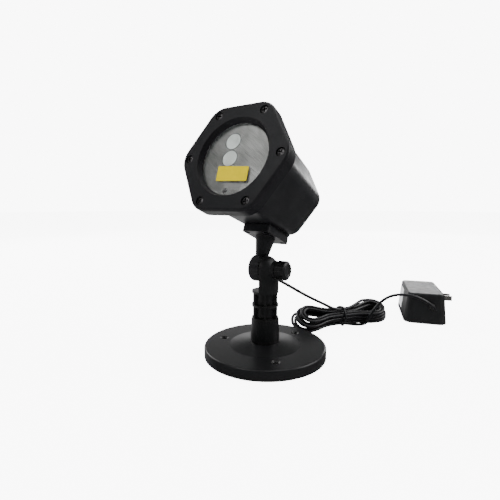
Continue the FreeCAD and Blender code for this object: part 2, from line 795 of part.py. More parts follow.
def make_cord_grommet():
    """The soft sleeve that the lead leaves by, pressed into the block from below, close behind the neck."""
    body = new_body("cord_grommet")
    sleeve = polygon(new_sketch(body, "XZ_Plane", x=GROMMET[0], z=f"-({GROMMET[1]})"), [
        ("0", "block_bottom - grommet_length"),
        ("grommet_tip_radius", "block_bottom - grommet_length"),
        ("grommet_root_radius", "block_bottom"),
        ("grommet_stem_radius", "block_bottom"),
        ("grommet_stem_radius", BLOCK_TOP),
        ("0", BLOCK_TOP),
    ])
    turn(body, sleeve)
    on_hinge(body)


# Lamp body: a tapered six-sided cup whose front flange sits inside the bezel
LIP_BACK = "(bezel_front - lip_depth)"
GLASS_FRONT = f"({LIP_BACK} - seal_thickness)"
PLATE_FRONT = f"({GLASS_FRONT} - glass_thickness)"
PLATE_BACK = f"({PLATE_FRONT} - plate_thickness)"
FLANGE_FRONT = f"({PLATE_BACK} + plate_ledge)"
FLANGE_BACK = f"({FLANGE_FRONT} - flange_thickness)"
BEZEL_FLOOR = f"({FLANGE_FRONT} + bezel_gasket_thickness)"
BEZEL_BACK = "(bezel_front - bezel_depth)"
PAD_FACE = f"({BLOCK_TOP} + bracket_gasket_thickness - head_rise)"
BOARD_HOLES = [(f"{i} * (board_width / 2 - board_screw_inset)", f"-board_front + {along}") for i in (-1, 1)
               for along in ("board_screw_inset", "board_length - board_screw_inset")]


def make_body_shell():
    body = new_body("body_shell")
    rear = new_sketch(body, "XZ_Plane", z="-shell_rear")
    rounded_hexagon(rear, "shell_rear_apothem", "shell_corner")
    front = new_sketch(body, "XZ_Plane", z=FLANGE_BACK)
    rounded_hexagon(front, "shell_front_apothem", "shell_corner")
    cup = body.newObject("PartDesign::AdditiveLoft", "body_shell_cup")
    cup.Profile = rear
    cup.Sections = [front]
    cup.Ruled = True
    fillet(body, "shell_rear_round", lambda edge: lies_at(edge, "y", size("shell_rear")))
    mount = new_sketch(body, "XY_Plane", z=PAD_FACE)
    rectangle(mount, "-block_width / 2", "block_width / 2", "-block_length / 2", "block_length / 2")
    pad(body, mount, "mount_pad_height")
    flange = new_sketch(body, "XZ_Plane", z=FLANGE_BACK)
    rounded_hexagon(flange, "flange_apothem", "flange_corner")
    pad(body, flange, "flange_thickness")
    hollow_shell(body)
    make_shell_bosses(body)


def hollow_shell(body):
    """The cavity, open at the front through a ledge that carries the face plate."""
    wall = "shell_wall"
    rear = new_sketch(body, "XZ_Plane", z=f"{wall} - shell_rear")
    rounded_hexagon(rear, f"shell_rear_apothem - {wall}", f"shell_corner - {wall}")
    front = new_sketch(body, "XZ_Plane", z=FLANGE_BACK)
    rounded_hexagon(front, f"shell_front_apothem - {wall}", f"shell_corner - {wall}")
    doc.recompute()
    before = body.Shape.Volume
    cavity = body.newObject("PartDesign::SubtractiveLoft", "body_shell_cavity")
    cavity.Profile = rear
    cavity.Sections = [front]
    cavity.Ruled = True
    doc.recompute()
    if body.Shape.Volume >= before:
        raise RuntimeError("the body shell stays solid")
    mouth = circle(new_sketch(body, "XZ_Plane", z=FLANGE_FRONT), "plate_ledge_radius")
    cut(body, mouth, "flange_thickness + 0.5")
    seat = circle(new_sketch(body, "XZ_Plane", z=FLANGE_FRONT), "glass_radius + seat_gap")
    cut(body, seat, "plate_ledge")
    bite = new_sketch(body, "XZ_Plane", z=FLANGE_FRONT)
    circle(bite, "screw_radius + seat_gap", "bezel_screw_circle")
    pilot = cut(body, bite, "bezel_screw_bite + seat_gap")
    repeat_round(body, [pilot], (bite, ["N_Axis"]), "bezel_screw_count")
    on_lamp_axis(body)


def make_shell_bosses(body):
    """Bosses inside the bottom wall: four for the bracket, four taller ones under the driver board."""
    bracket = new_sketch(body, "XY_Plane", z=f"{PAD_FACE} + mount_pad_height / 2")
    for x, y in BLOCK_SCREWS:
        circle(bracket, "boss_radius", f"{x} - head_offset", y)
    pad(body, bracket, "bracket_screw_bite")
    board = new_sketch(body, "XY_Plane", z="board_boss_foot")
    for x, y in BOARD_HOLES:
        circle(board, "boss_radius", x, y)
    pad(body, board, "board_up - board_boss_foot")
    pilots = new_sketch(body, "XY_Plane", z=PAD_FACE)
    for x, y in BLOCK_SCREWS:
        circle(pilots, "screw_radius + seat_gap", f"{x} - head_offset", y)
    cut(body, pilots, "bracket_screw_bite + seat_gap", along_normal=True)
    wires = new_sketch(body, "XY_Plane", z=f"{PAD_FACE} - 1")
    circle(wires, "grommet_stem_radius + seat_gap", "grommet_across", "grommet_back")
    cut(body, wires, "mount_pad_height + 2", along_normal=True)
    board_pilots = new_sketch(body, "XY_Plane", z="board_up")
    for x, y in BOARD_HOLES:
        circle(board_pilots, "screw_radius + seat_gap", x, y)
    cut(body, board_pilots, "bracket_screw_bite")


def make_front_bezel():
    body = new_body("front_bezel")
    outline = rounded_hexagon(new_sketch(body, "XZ_Plane", z=BEZEL_BACK), "bezel_apothem", "bezel_corner")
    pad(body, outline, "bezel_depth")
    fillet(body, "bezel_edge_round", lambda edge: lies_at(edge, "y", -size("bezel_front")))
    groove(body, polygon(new_sketch(body, "XY_Plane"), [
        ("0", "-bezel_front - 1"),
        ("window_radius", "-bezel_front - 1"),
        ("window_radius", "-bezel_front"),
        ("lip_radius", f"-{LIP_BACK}"),
        ("glass_radius + seat_gap", f"-{LIP_BACK}"),
        ("glass_radius + seat_gap", f"-{BEZEL_BACK} + 1"),
        ("0", f"-{BEZEL_BACK} + 1"),
    ]))
    rebate = new_sketch(body, "XZ_Plane", z=BEZEL_BACK)
    rounded_hexagon(rebate, "flange_apothem + seat_gap", "flange_corner + seat_gap")
    cut(body, rebate, f"{BEZEL_FLOOR} - {BEZEL_BACK}", along_normal=True)
    sinks = new_sketch(body, "XZ_Plane", z="bezel_front + 1")
    circle(sinks, "screw_head_radius + bezel_sink_gap", "bezel_screw_circle")
    sink = cut(body, sinks, "bezel_screw_sink + 1")
    holes = new_sketch(body, "XZ_Plane", z="bezel_front + 1")
    circle(holes, "screw_radius + seat_gap", "bezel_screw_circle")
    hole = cut(body, holes, "bezel_depth + 2")
    repeat_round(body, [sink, hole], (sinks, ["N_Axis"]), "bezel_screw_count")
    on_lamp_axis(body)


def make_bezel_screws():
    length = number(f"bezel_front - bezel_screw_sink - {FLANGE_FRONT} + bezel_screw_bite")
    tip = number(f"{FLANGE_FRONT} - bezel_screw_bite")
    points = [Vector(number(x), -tip, number(z))
              for x, z in ring_points("bezel_screw_circle", int(size("bezel_screw_count")))]
    screw_group("bezel_screws", points, Vector(0, -1, 0), length, lamp_placement())


def make_bezel_gasket():
    body = new_body("bezel_gasket")
    ring = rounded_hexagon(new_sketch(body, "XZ_Plane", z=FLANGE_FRONT), "flange_apothem", "flange_corner")
    circle(ring, "glass_radius + seat_gap")
    for x, z in ring_points("bezel_screw_circle", int(size("bezel_screw_count"))):
        circle(ring, "screw_radius + seat_gap", x, z)
    pad(body, ring, "bezel_gasket_thickness")
    on_lamp_axis(body)


def make_disc(label, back, thickness, outer, inner=None):
    """A round sheet or ring square to the lamp's axis."""
    body = new_body(label)
    outline = circle(new_sketch(body, "XZ_Plane", z=back), outer)
    if inner is not None:
        circle(outline, inner)
    pad(body, outline, thickness)
    on_lamp_axis(body)
    return body


# Optics: the sealed window, the metal face plate and what is fixed behind it
GRATINGS = {"red": "red_grating_up", "green": "green_grating_up"}


def make_face_plate():
    body = make_disc("face_plate", PLATE_BACK, "plate_thickness", "glass_radius")
    recesses = new_sketch(body, "XZ_Plane", z=PLATE_FRONT)
    for up in GRATINGS.values():
        circle(recesses, "grating_radius + seat_gap / 2", "grating_across", up)
    cut(body, recesses, "grating_thickness")
    openings = new_sketch(body, "XZ_Plane", z=PLATE_FRONT)
    for up in GRATINGS.values():
        circle(openings, "aperture_radius", "grating_across", up)
    circle(openings, "receiver_radius + seat_gap / 2", "receiver_across", "receiver_up")
    cut(body, openings, "plate_thickness + 1")


def make_gratings():
    for colour, up in GRATINGS.items():
        body = new_body(f"{colour}_grating")
        disc = new_sketch(body, "XZ_Plane", z=f"{PLATE_FRONT} - grating_thickness")
        circle(disc, "grating_radius", "grating_across", up)
        pad(body, disc, "grating_thickness")
        on_lamp_axis(body)


def make_laser_modules():
    """Turned brass barrels with a lens nose in front and a driver stub behind."""
    nose = f"-({PLATE_BACK} - 0.5)"
    shoulder = f"{nose} + module_nose_length"
    tail = f"{shoulder} + module_length"
    for colour, up in GRATINGS.items():
        body = new_body(f"{colour}_laser_module")
        turn(body, polygon(new_sketch(body, "XY_Plane", x="grating_across", z=up), [
            ("0", nose),
            ("module_nose_radius", nose),
            ("module_nose_radius", shoulder),
            ("module_radius", shoulder),
            ("module_radius", tail),
            ("module_tail_radius", tail),
            ("module_tail_radius", f"{tail} + module_tail_length"),
            ("0", f"{tail} + module_tail_length"),
        ]))
        on_lamp_axis(body)


def make_module_holder():
    body = new_body("module_holder")
    block = new_sketch(body, "XZ_Plane", z=f"{PLATE_BACK} - holder_length")
    low = "green_grating_up - module_radius - holder_rim"
    high = "red_grating_up + module_radius + holder_rim"
    rectangle(block, "grating_across - holder_width / 2", "grating_across + holder_width / 2", low, high)
    for up in GRATINGS.values():
        circle(block, "module_radius + running_gap", "grating_across", up)
    pad(body, block, "holder_length")
    on_lamp_axis(body)


def make_remote_receiver():
    """The eye of the remote control, a small dark lens that looks out through the face plate."""
    body = new_body("remote_receiver")
    front = f"-({PLATE_FRONT} - receiver_sink)"
    seat = f"-{PLATE_BACK}"
    tail = f"{front} + receiver_length"
    turn(body, polygon(new_sketch(body, "XY_Plane", x="receiver_across", z="receiver_up"), [
        ("0", front),
        ("receiver_radius", front),
        ("receiver_radius", seat),
        ("receiver_flange_radius", seat),
        ("receiver_flange_radius", tail),
        ("0", tail),
    ]))
    on_lamp_axis(body)


def make_driver_board():
    body = new_body("driver_board")
    board = new_sketch(body, "XY_Plane", z="board_up")
    rectangle(board, "-board_width / 2", "board_width / 2", "-board_front", "board_length - board_front")
    for x, y in BOARD_HOLES:
        circle(board, "screw_radius + seat_gap", x, y)
    pad(body, board, "board_thickness")
    chips = new_sketch(body, "XY_Plane", z="board_up + board_thickness / 2")
    rectangle(chips, "-board_width / 4", "0", "-board_front + 10", "-board_front + 20")
    circle(chips, "board_width / 8", "board_width / 4", "board_length / 4 - board_front")
    circle(chips, "board_width / 7", "-board_width / 6", "board_length * 0.7 - board_front")
    pad(body, chips, "board_thickness / 2 + 7")
    on_lamp_axis(body)


def make_board_screws():
    length = number("board_thickness + bracket_screw_bite - 1")
    tip = number("board_up + board_thickness") - length
    points = [Vector(number(x), number(y), tip) for x, y in BOARD_HOLES]
    screw_group("board_screws", points, Vector(0, 0, 1), length, lamp_placement())


# Wall adapter: a tapered case on a shallow cover, two blades in its side and the strain relief
ADAPTER = {"x": "adapter_x", "y": "adapter_y", "angle": "adapter_turn", "axis": Vector(0, 0, 1)}


def adapter_block(body, low, high):
    """A stretch of the tapered box between two heights."""
    inset = "0" if low == "0" else f"{low} * tan(adapter_draft)"
    outline = new_sketch(body, "XY_Plane", z=low)
    far_side, far_end = f"adapter_width - {inset}", f"adapter_length - {inset}"
    rounded_rectangle(outline, inset, far_side, inset, far_end, f"(adapter_corner - {inset})")
    block = pad(body, outline, f"{high} - {low}")
    block.setExpression("TaperAngle", bound("-adapter_draft"))


def make_adapter():
    cover = new_body("adapter_cover")
    adapter_block(cover, "0", "adapter_cover_height")
    fillet(cover, "adapter_edge_round / 2", lambda edge: lies_at(edge, "z", 0))
    case = new_body("adapter_case")
    adapter_block(case, "adapter_cover_height", "adapter_height")
    fillet(case, "adapter_edge_round", lambda edge: lies_at(edge, "z", size("adapter_height")))
    socket = new_sketch(case, "XZ_Plane", z="1")
    circle(socket, "relief_tip_radius", "relief_across", "relief_rise")
    cut(case, socket, "1 + relief_face + prong_root")
    slots = new_sketch(case, "YZ_Plane", z="adapter_width + 1")
    draw_prongs(slots)
    cut(case, slots, "adapter_width + 1 - prong_face + prong_root")
    for side, label in ((-1, "left_prong"), (1, "right_prong")):
        prong = new_body(label)
        outline = new_sketch(prong, "YZ_Plane", z="prong_face - prong_root")
        draw_prongs(outline, (side,))
        pad(prong, outline, "prong_root + prong_length")
        place(prong, **ADAPTER)
    relief = new_body("adapter_relief")
    turn(relief, polygon(new_sketch(relief, "XY_Plane", "relief_across", "relief_face", "relief_rise"), [
        ("0", "-relief_length"),
        ("relief_tip_radius", "-relief_length"),
        ("relief_root_radius", "0"),
        ("relief_tip_radius", "0"),
        ("relief_tip_radius", "prong_root"),
        ("0", "prong_root"),
    ]))
    for body in (cover, case, relief):
        place(body, **ADAPTER)


def draw_prongs(sketch, sides=(-1, 1)):
    for side in sides:
        middle = f"adapter_length - prong_from_back + {side} * prong_spread / 2"
        rectangle(sketch, f"{middle} - prong_thickness / 2", f"{middle} + prong_thickness / 2",
                  "prong_rise - prong_width / 2", "prong_rise + prong_width / 2")


# Lead: a loose drop from the head, a hank tied at its waist and a tail to the adapter
HANK_CENTRE = Vector(37.96, 110.47, 0)
HANK_HEADING = math.radians(47.9)
HANK_ALONG = Vector(math.cos(HANK_HEADING), math.sin(HANK_HEADING), 0)
HANK_FRONT = Vector(math.sin(HANK_HEADING), -math.cos(HANK_HEADING), 0)
UPWARD = Vector(0, 0, 1)
HANK_LAYERS = 4
HANK_LOOPS_PER_LAYER = 2
HANK_STEP = 4.1
HANK_LAYER_STEP = 4.1
HANK_HALF_LENGTH = 58.0
HANK_LOBE_HALF_WIDTH = 14.6
HANK_LOBE_FROM_TIP = 14.6
HANK_DRAW_IN = 4.2
HANK_LEAN = (math.radians(26), math.radians(18))
HANK_FLOOR_GAP = 0.3
HANK_RISE = 0.03


def hank_lean(along):
    """How steeply the loops stand at a place along the hank, steeper at the end near the base."""
    share = 0.5 + along / (2 * HANK_HALF_LENGTH)
    return HANK_LEAN[0] + (HANK_LEAN[1] - HANK_LEAN[0]) * share


def hank_axis_height(along):
    """The height of the hank's middle line: the near lobe rests on the floor, the rest rises a little."""
    shoulder = HANK_HALF_LENGTH - HANK_LOBE_FROM_TIP
    lean = hank_lean(-shoulder)
    half_pile = (HANK_LAYERS - 1) / 2 * HANK_LAYER_STEP
    resting = HANK_LOBE_HALF_WIDTH * math.sin(lean) + half_pile * math.cos(lean) + size("cord_radius")
    return resting + HANK_FLOOR_GAP + HANK_RISE * (along + shoulder)


def hank_point(along, across, pile):
    """A point of the hank in the part's frame, from its place along, across and through the pile."""
    lean = hank_lean(along)
    sideways = HANK_FRONT * -math.cos(lean) + UPWARD * math.sin(lean)
    through = HANK_FRONT * math.sin(lean) + UPWARD * math.cos(lean)
    middle = HANK_CENTRE + HANK_ALONG * along + UPWARD * hank_axis_height(along)
    return middle + sideways * across + through * pile


def hank_floor_point(along, front, height):
    """A point beside or under the hank, from its place along and in front of the middle line."""
    return HANK_CENTRE + HANK_ALONG * along + HANK_FRONT * front + UPWARD * height


def hank_direction(place_now, heading):
    """The direction in the part's frame of a heading given along, across and through the pile."""
    small = 1e-3
    ahead = [value + small * step for value, step in zip(place_now, heading)]
    return (hank_point(*ahead) - hank_point(*place_now)).normalize()


def hank_stations():
    """Places and headings of the cord, eight to a loop, winding in and out layer by layer."""
    loops = HANK_LAYERS * HANK_LOOPS_PER_LAYER
    half_pile = (HANK_LAYERS - 1) / 2 * HANK_LAYER_STEP
    stations = []
    for i in range(1, 8 * loops + 1):
        turns = i / 8
        layer_turn = turns % (2 * HANK_LOOPS_PER_LAYER)
        drawn = min(layer_turn, 2 * HANK_LOOPS_PER_LAYER - layer_turn) * HANK_STEP
        layer = min(int((turns - 1e-9) / HANK_LOOPS_PER_LAYER), HANK_LAYERS - 1)
        since = turns - layer * HANK_LOOPS_PER_LAYER
        climb = min(since / 0.25, 1.0) if layer else 1.0
        pile = half_pile - (layer - 1 + climb) * HANK_LAYER_STEP
        lobe = HANK_LOBE_HALF_WIDTH - drawn
        tip = HANK_HALF_LENGTH - drawn
        shoulder = HANK_HALF_LENGTH - HANK_LOBE_FROM_TIP
        waist = lobe - HANK_DRAW_IN
        onward, back = (1, 0, 0), (-1, 0, 0)
        along, across, heading = [
            (-shoulder, lobe, onward),
            (0, waist, onward),
            (shoulder, lobe, onward),
            (tip, 0, (0, -1, 0)),
            (shoulder, -lobe, back),
            (0, -waist, back),
            (-shoulder, -lobe, back),
            (-tip, 0, (0, 1, 0)),
        ][i % 8]
        here = (along, across, pile)
        stations.append((hank_point(*here), hank_direction(here, heading)))
    return stations


def biarc(start, start_direction, end, end_direction):
    """Two arcs that leave one point along its direction and reach another along its own."""
    span = end - start
    both = start_direction + end_direction
    a = 2 * (start_direction.dot(end_direction) - 1)
    b = span.dot(both)
    c = span.dot(span)
    reach = c / (2 * b) if abs(a) < 1e-9 else (b - math.sqrt(b * b - a * c)) / a
    middle = (start + start_direction * reach + end - end_direction * reach) * 0.5
    first = tangent_arc(start, start_direction, middle)
    return [first, tangent_arc(end, end_direction * -1, middle, backwards=True)]


def tangent_arc(start, direction, end, backwards=False):
    """The arc that leaves start along a direction and reaches end, or the line where they are in line."""
    chord = end - start
    along = chord.dot(direction)
    aside = chord - direction * along
    if aside.Length < 1e-6:
        return Part.LineSegment(end, start) if backwards else Part.LineSegment(start, end)
    bend = math.atan2(aside.Length, along)
    outward = (direction * math.sin(bend) - aside.normalize() * math.cos(bend))
    crown = start + chord * 0.5 + outward * (chord.Length / 2 * math.tan(bend / 2))
    return Part.Arc(end, crown, start) if backwards else Part.Arc(start, crown, end)


def hank_path():
    """The hank's unbroken middle line, with a short straight end at each side."""
    straight = 2 * size("cord_radius")
    stations = hank_stations()
    half_pile = (HANK_LAYERS - 1) / 2 * HANK_LAYER_STEP
    waist = HANK_LOBE_HALF_WIDTH - HANK_DRAW_IN
    first = (-16.0, waist + 0.5, half_pile + 3.4)
    last = (-28.0, waist + 3.0, -half_pile - 1.1)
    in_point, in_heading = hank_point(*first), hank_direction(first, (1, 0.05, -0.45))
    out_point, out_heading = hank_point(*last), hank_direction(last, (1, -0.1, -0.25))
    knots = [(in_point + in_heading * straight, in_heading)] + stations + [(out_point, out_heading)]
    pieces = [Part.LineSegment(in_point, in_point + in_heading * straight)]
    for (start, start_direction), (end, end_direction) in zip(knots, knots[1:]):
        pieces += biarc(start, start_direction, end, end_direction)
    pieces.append(Part.LineSegment(out_point, out_point + out_heading * straight))
    return pieces, (in_point, in_heading), (out_point + out_heading * straight, out_heading)


def self_gap(wire, spacing, skip):
    """The least free gap between stretches of a tube that are not neighbours, from points along it."""
    points = wire.discretize(Distance=spacing)
    cell = 8.0
    grid = {}
    for i, p in enumerate(points):
        grid.setdefault((int(p.x // cell), int(p.y // cell), int(p.z // cell)), []).append(i)
    least = cell
    for (cx, cy, cz), members in grid.items():
        near = [j for dx in (-1, 0, 1) for dy in (-1, 0, 1) for dz in (-1, 0, 1)
                for j in grid.get((cx + dx, cy + dy, cz + dz), [])]
        for i in members:
            for j in near:
                if j - i > skip:
                    least = min(least, points[i].distanceToPoint(points[j]))
    return least - 2 * size("cord_radius")


def tube_along(wire, sides=None):
    """A round or faceted tube along a path, square to its start."""
    start = wire.Edges[0].valueAt(wire.Edges[0].FirstParameter)
    heading = wire.Edges[0].tangentAt(wire.Edges[0].FirstParameter)
    radius = size("cord_radius")
    if sides is None:
        section = Part.Wire(Part.makeCircle(radius, start, heading))
    else:
        turn_to = Rotation(Vector(0, 0, 1), heading)
        corners = [start + turn_to.multVec(Vector(radius * math.cos(2 * math.pi * k / sides),
                                                  radius * math.sin(2 * math.pi * k / sides), 0))
                   for k in range(sides)]
        section = Part.makePolygon(corners + corners[:1])
    return wire.makePipeShell([section], True, False)


def rounded_route(name, points):
    """Straight runs with an arc at each point as large as its runs allow; prints the radii."""
    edges, radii = [], []
    begin = points[0]
    for before, corner, after in zip(points, points[1:], points[2:]):
        inward, onward = (before - corner), (after - corner)
        turn_angle = math.pi - inward.getAngle(onward)
        cut_back = 0.45 * min(inward.Length, onward.Length)
        radii.append(cut_back / math.tan(turn_angle / 2))
        arc_start = corner + inward.normalize() * cut_back
        arc_end = corner + onward.normalize() * cut_back
        middle = arc_start + (arc_end - arc_start) * 0.5
        to_corner = (corner - middle).normalize()
        crown = middle + to_corner * ((arc_end - arc_start).Length / 2 * math.tan(turn_angle / 4))
        edges.append(Part.LineSegment(begin, arc_start).toShape())
        edges.append(Part.Arc(arc_start, crown, arc_end).toShape())
        begin = arc_end
    edges.append(Part.LineSegment(begin, points[-1]).toShape())
    wire = Part.Wire(edges)
    print(name, "length", round(wire.Length, 1), "radii", [round(radius, 1) for radius in radii])
    return wire


def tube_volume_error(shape, length):
    return abs(shape.Volume / (math.pi * size("cord_radius") ** 2 * length) - 1)


def make_lead():
    pieces, (hank_in, in_heading), (hank_out, out_heading) = hank_path()
    path = Part.Wire([piece.toShape() for piece in pieces])
    skip = int(4 * math.pi * size("cord_radius"))
    lowest = min(point.z for point in path.discretize(Distance=1.0)) - size("cord_radius")
    print("hank length", round(path.Length, 1), "least gap to itself", round(self_gap(path, 1.0, skip), 2),
          "lowest", round(lowest, 2))
    arcs = [edge.Curve.Radius for edge in path.Edges if edge.Curve.TypeId == "Part::GeomCircle"]
    print("tightest hank arc", round(min(arcs), 1))
    solid_feature("cord_hank", tube_along(path, sides=6))

    tilt = Rotation(Vector(1, 0, 0), -size("head_tilt"))
    tip = Vector(number(GROMMET[0]), number(GROMMET[1]), number("block_bottom - grommet_length"))
    drop_start = tilt.multVec(tip) + Vector(0, 0, size("hinge_height"))
    drop_heading = tilt.multVec(Vector(0, 0, -1))
    drop = [
        drop_start,
        drop_start + drop_heading * 7.0,
        Vector(-12.8, 18.0, 80.5),
        Vector(-7.5, 22.0, 72.5),
        Vector(1.0, 30.0, 65.5),
        Vector(7.5, 46.5, 55.5),
        Vector(13.0, 69.0, 43.0),
        hank_in - in_heading * 18.0,
        hank_in,
    ]
    drop_wire = rounded_route("cord_drop", drop)
    solid_feature("cord_drop", tube_along(drop_wire))

    turn_case = Rotation(Vector(0, 0, 1), size("adapter_turn"))
    relief_tip = Vector(size("relief_across"), number("relief_face - relief_length"), size("relief_rise"))
    tail_end = turn_case.multVec(relief_tip) + Vector(size("adapter_x"), size("adapter_y"), 0)
    tail_heading = turn_case.multVec(Vector(0, 1, 0))
    tail = [
        hank_out,
        hank_out + out_heading * 7.0,
        hank_floor_point(-10, -13.0, 7.0),
        hank_floor_point(0, -9.0, 2.4),
        hank_floor_point(12, -1.5, 1.8),
        hank_floor_point(20.5, 6.5, 1.9),
        hank_floor_point(24.5, 14.0, 6.0),
        hank_floor_point(24.0, 19.0, 15.5),
        Vector(74.5, 119.6, 27.0),
        Vector(82.0, 123.0, 36.8),
        Vector(92.0, 128.0, 42.5),
        Vector(104.0, 134.7, 42.8),
        Vector(116.0, 139.8, 40.0),
        Vector(126.0, 145.0, 33.8),
        Vector(131.4, 151.2, 27.0),
        tail_end - tail_heading * 7.0,
        tail_end,
    ]
    tail_wire = rounded_route("cord_tail", tail)
    solid_feature("cord_tail", tube_along(tail_wire))
    for label, wire in (("cord_drop", drop_wire), ("cord_tail", tail_wire)):
        error = tube_volume_error(doc.getObject(label).Shape, wire.Length)
        print(label, "volume error", round(error, 4))


def make_hank_tie():
    """A flat strap round the waist of the hank."""
    half_pile = (HANK_LAYERS - 1) / 2 * HANK_LAYER_STEP + size("cord_radius") + size("tie_gap")
    half_waist = HANK_LOBE_HALF_WIDTH - HANK_DRAW_IN + size("cord_radius") + size("tie_gap")
    thick = size("tie_thickness")
    corner = size("cord_radius") + size("tie_gap")

    def band(extra):
        box = Part.makeBox(size("tie_width"), 2 * (half_waist + extra), 2 * (half_pile + extra),
                           Vector(-size("tie_width") / 2, -half_waist - extra, -half_pile - extra))
        return box.makeFillet(corner + extra, [edge for edge in box.Edges if lies_along_x(edge)])

    strap = band(thick).cut(band(0))
    lean = hank_lean(0)
    sideways = HANK_FRONT * -math.cos(lean) + UPWARD * math.sin(lean)
    through = HANK_FRONT * math.sin(lean) + UPWARD * math.cos(lean)
    centre = HANK_CENTRE + UPWARD * hank_axis_height(0)
    solid_feature("hank_tie", strap, Placement(centre, Rotation(HANK_ALONG, sideways, through, "XYZ")))


def lies_along_x(edge):
    ends = [vertex.Point for vertex in edge.Vertexes]
    return abs(ends[0].y - ends[1].y) < 1e-6 and abs(ends[0].z - ends[1].z) < 1e-6


make_base_shell()
make_base_weight()
make_base_pad()
make_weight_screws()
make_post()
make_clamp_bolt()
make_knob()
make_knob_insert()
make_tilt_bracket()
make_bracket_gasket()
make_bracket_screws()
make_cord_grommet()
make_body_shell()
make_front_bezel()
make_bezel_screws()
make_bezel_gasket()
make_disc("window_seal", GLASS_FRONT, "seal_thickness", "glass_radius", "lip_radius")
make_disc("window_glass", PLATE_FRONT, "glass_thickness", "glass_radius")
make_face_plate()
make_gratings()
make_laser_modules()
make_module_holder()
make_remote_receiver()
make_driver_board()
make_board_screws()
make_adapter()
make_lead()
make_hank_tie()
doc.recompute()

for item in doc.Objects:
    if "Invalid" in item.State or "Error" in item.State:
        raise RuntimeError(f"{item.Label} failed: {item.State}")
for sub_part in sub_parts:
    if sub_part.Shape.isNull() or not sub_part.Shape.isValid() or not sub_part.Shape.Solids:
        raise RuntimeError(f"{sub_part.Label} has no valid solid")

os.makedirs("parts", exist_ok=True)
for sub_part in sub_parts:
    sub_part.Shape.exportStep(f"parts/{sub_part.Label}.step")
print(len(sub_parts), "sub-parts written")
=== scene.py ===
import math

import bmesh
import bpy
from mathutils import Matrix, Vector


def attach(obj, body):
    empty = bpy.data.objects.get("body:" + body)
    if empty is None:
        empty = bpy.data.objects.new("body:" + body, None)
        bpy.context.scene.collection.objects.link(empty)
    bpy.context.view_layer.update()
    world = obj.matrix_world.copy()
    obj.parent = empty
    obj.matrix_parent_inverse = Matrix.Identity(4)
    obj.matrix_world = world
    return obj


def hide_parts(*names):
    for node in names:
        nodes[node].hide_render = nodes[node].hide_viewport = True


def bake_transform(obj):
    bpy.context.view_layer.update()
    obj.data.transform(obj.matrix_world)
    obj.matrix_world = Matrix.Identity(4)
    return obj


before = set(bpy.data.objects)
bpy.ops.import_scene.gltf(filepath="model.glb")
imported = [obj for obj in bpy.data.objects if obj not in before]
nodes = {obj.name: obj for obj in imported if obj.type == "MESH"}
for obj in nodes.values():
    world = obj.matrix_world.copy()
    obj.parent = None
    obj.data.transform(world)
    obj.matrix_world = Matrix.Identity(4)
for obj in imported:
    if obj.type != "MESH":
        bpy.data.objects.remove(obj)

# %% [markdown]
# # A laser show projector on a weighted foot
# A six-sided black lamp head tilts on a ribbed post, and a thin lead runs from its neck to a wall
# adapter. The CAD model already gives every rigid piece its true size and place, in metres. This
# lesson dresses it: it sets the camera, lays the lead, gives each surface its finish and adds the
# small pieces that CAD leaves out.

MM = 0.001
scene = bpy.context.scene
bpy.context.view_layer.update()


def show(name, data):
    """Put new data in the scene as an object at the origin."""
    made = bpy.data.objects.new(name, data)
    scene.collection.objects.link(made)
    return made


def as_mesh(holder):
    """The plain mesh that an object's curve or modifiers work out to."""
    bpy.context.view_layer.update()
    graph = bpy.context.evaluated_depsgraph_get()
    return bpy.data.meshes.new_from_object(holder.evaluated_get(graph))


# %% [markdown]
# ## The camera
# The photograph was taken from about 350 mm away with a wide lens, a little above the lamp's neck
# and off to its left side. The place and lens below were fitted to points that are easy to find in
# the picture: the ends of the foot's ellipse, the six bezel screws and the hinge. A fitted camera
# makes later comparison fair, because a difference in the picture is then a difference in the
# model.

# %% Camera
LENS, SENSOR = 25.88, 36.0
CAMERA_PLACE = (0.1656, -0.2883, 0.14487)
CAMERA_PITCH, CAMERA_HEADING = math.radians(82.42), math.radians(32.36)

camera_lens = bpy.data.cameras.new("photo_camera")
camera_lens.lens, camera_lens.sensor_width = LENS, SENSOR
camera = show("photo_camera", camera_lens)
camera.location = CAMERA_PLACE
camera.rotation_euler = (CAMERA_PITCH, 0.0, CAMERA_HEADING)
scene.camera = camera
print("camera at", [round(v, 4) for v in camera.location])

# %% [markdown]
# ## The route of the lead
# The real lead is thin, limp and a little over two metres long. It drops from a sleeve behind the
# neck, is folded into a hank that a tie holds at the waist, and goes on to the wall adapter. One
# NURBS curve can carry all of it: its control points are the route's points, and the curve rounds
# the corners by itself, as a limp lead does. The drop and the tail are listed points. The hank
# comes from a rule, because its loops repeat. Its sizes are in millimetres.

# %% Where the hank lies
LEAD_RADIUS = 1.6
HANK_CENTRE = Vector((37.96, 110.47, 0.0))
HANK_HEADING = math.radians(47.9)
HANK_ALONG = Vector((math.cos(HANK_HEADING), math.sin(HANK_HEADING), 0.0))
HANK_FRONT = Vector((math.sin(HANK_HEADING), -math.cos(HANK_HEADING), 0.0))
UPWARD = Vector((0.0, 0.0, 1.0))
LAYERS, LOOPS_PER_LAYER = 4, 2
LOOP_STEP, LAYER_STEP = 3.62, 3.7  # between loops of a layer, and between layers
SHOULDER, LOBE, DRAW_IN = 43.5, 15.0, 6.1  # half the straight run, lobe's radius, pull at the waist
LEAN_NEAR, LEAN_FAR = math.radians(32), math.radians(18)
HALF_PILE = (LAYERS - 1) / 2 * LAYER_STEP
FLOOR_GAP = 0.3
RESTING = LOBE * math.sin(LEAN_NEAR) + HALF_PILE * math.cos(LEAN_NEAR) + LEAD_RADIUS + FLOOR_GAP
TIP_RISE, RISE_FROM, RISE_OVER = 3.6, 8.0, 50.0  # how the far lobe lifts off the floor


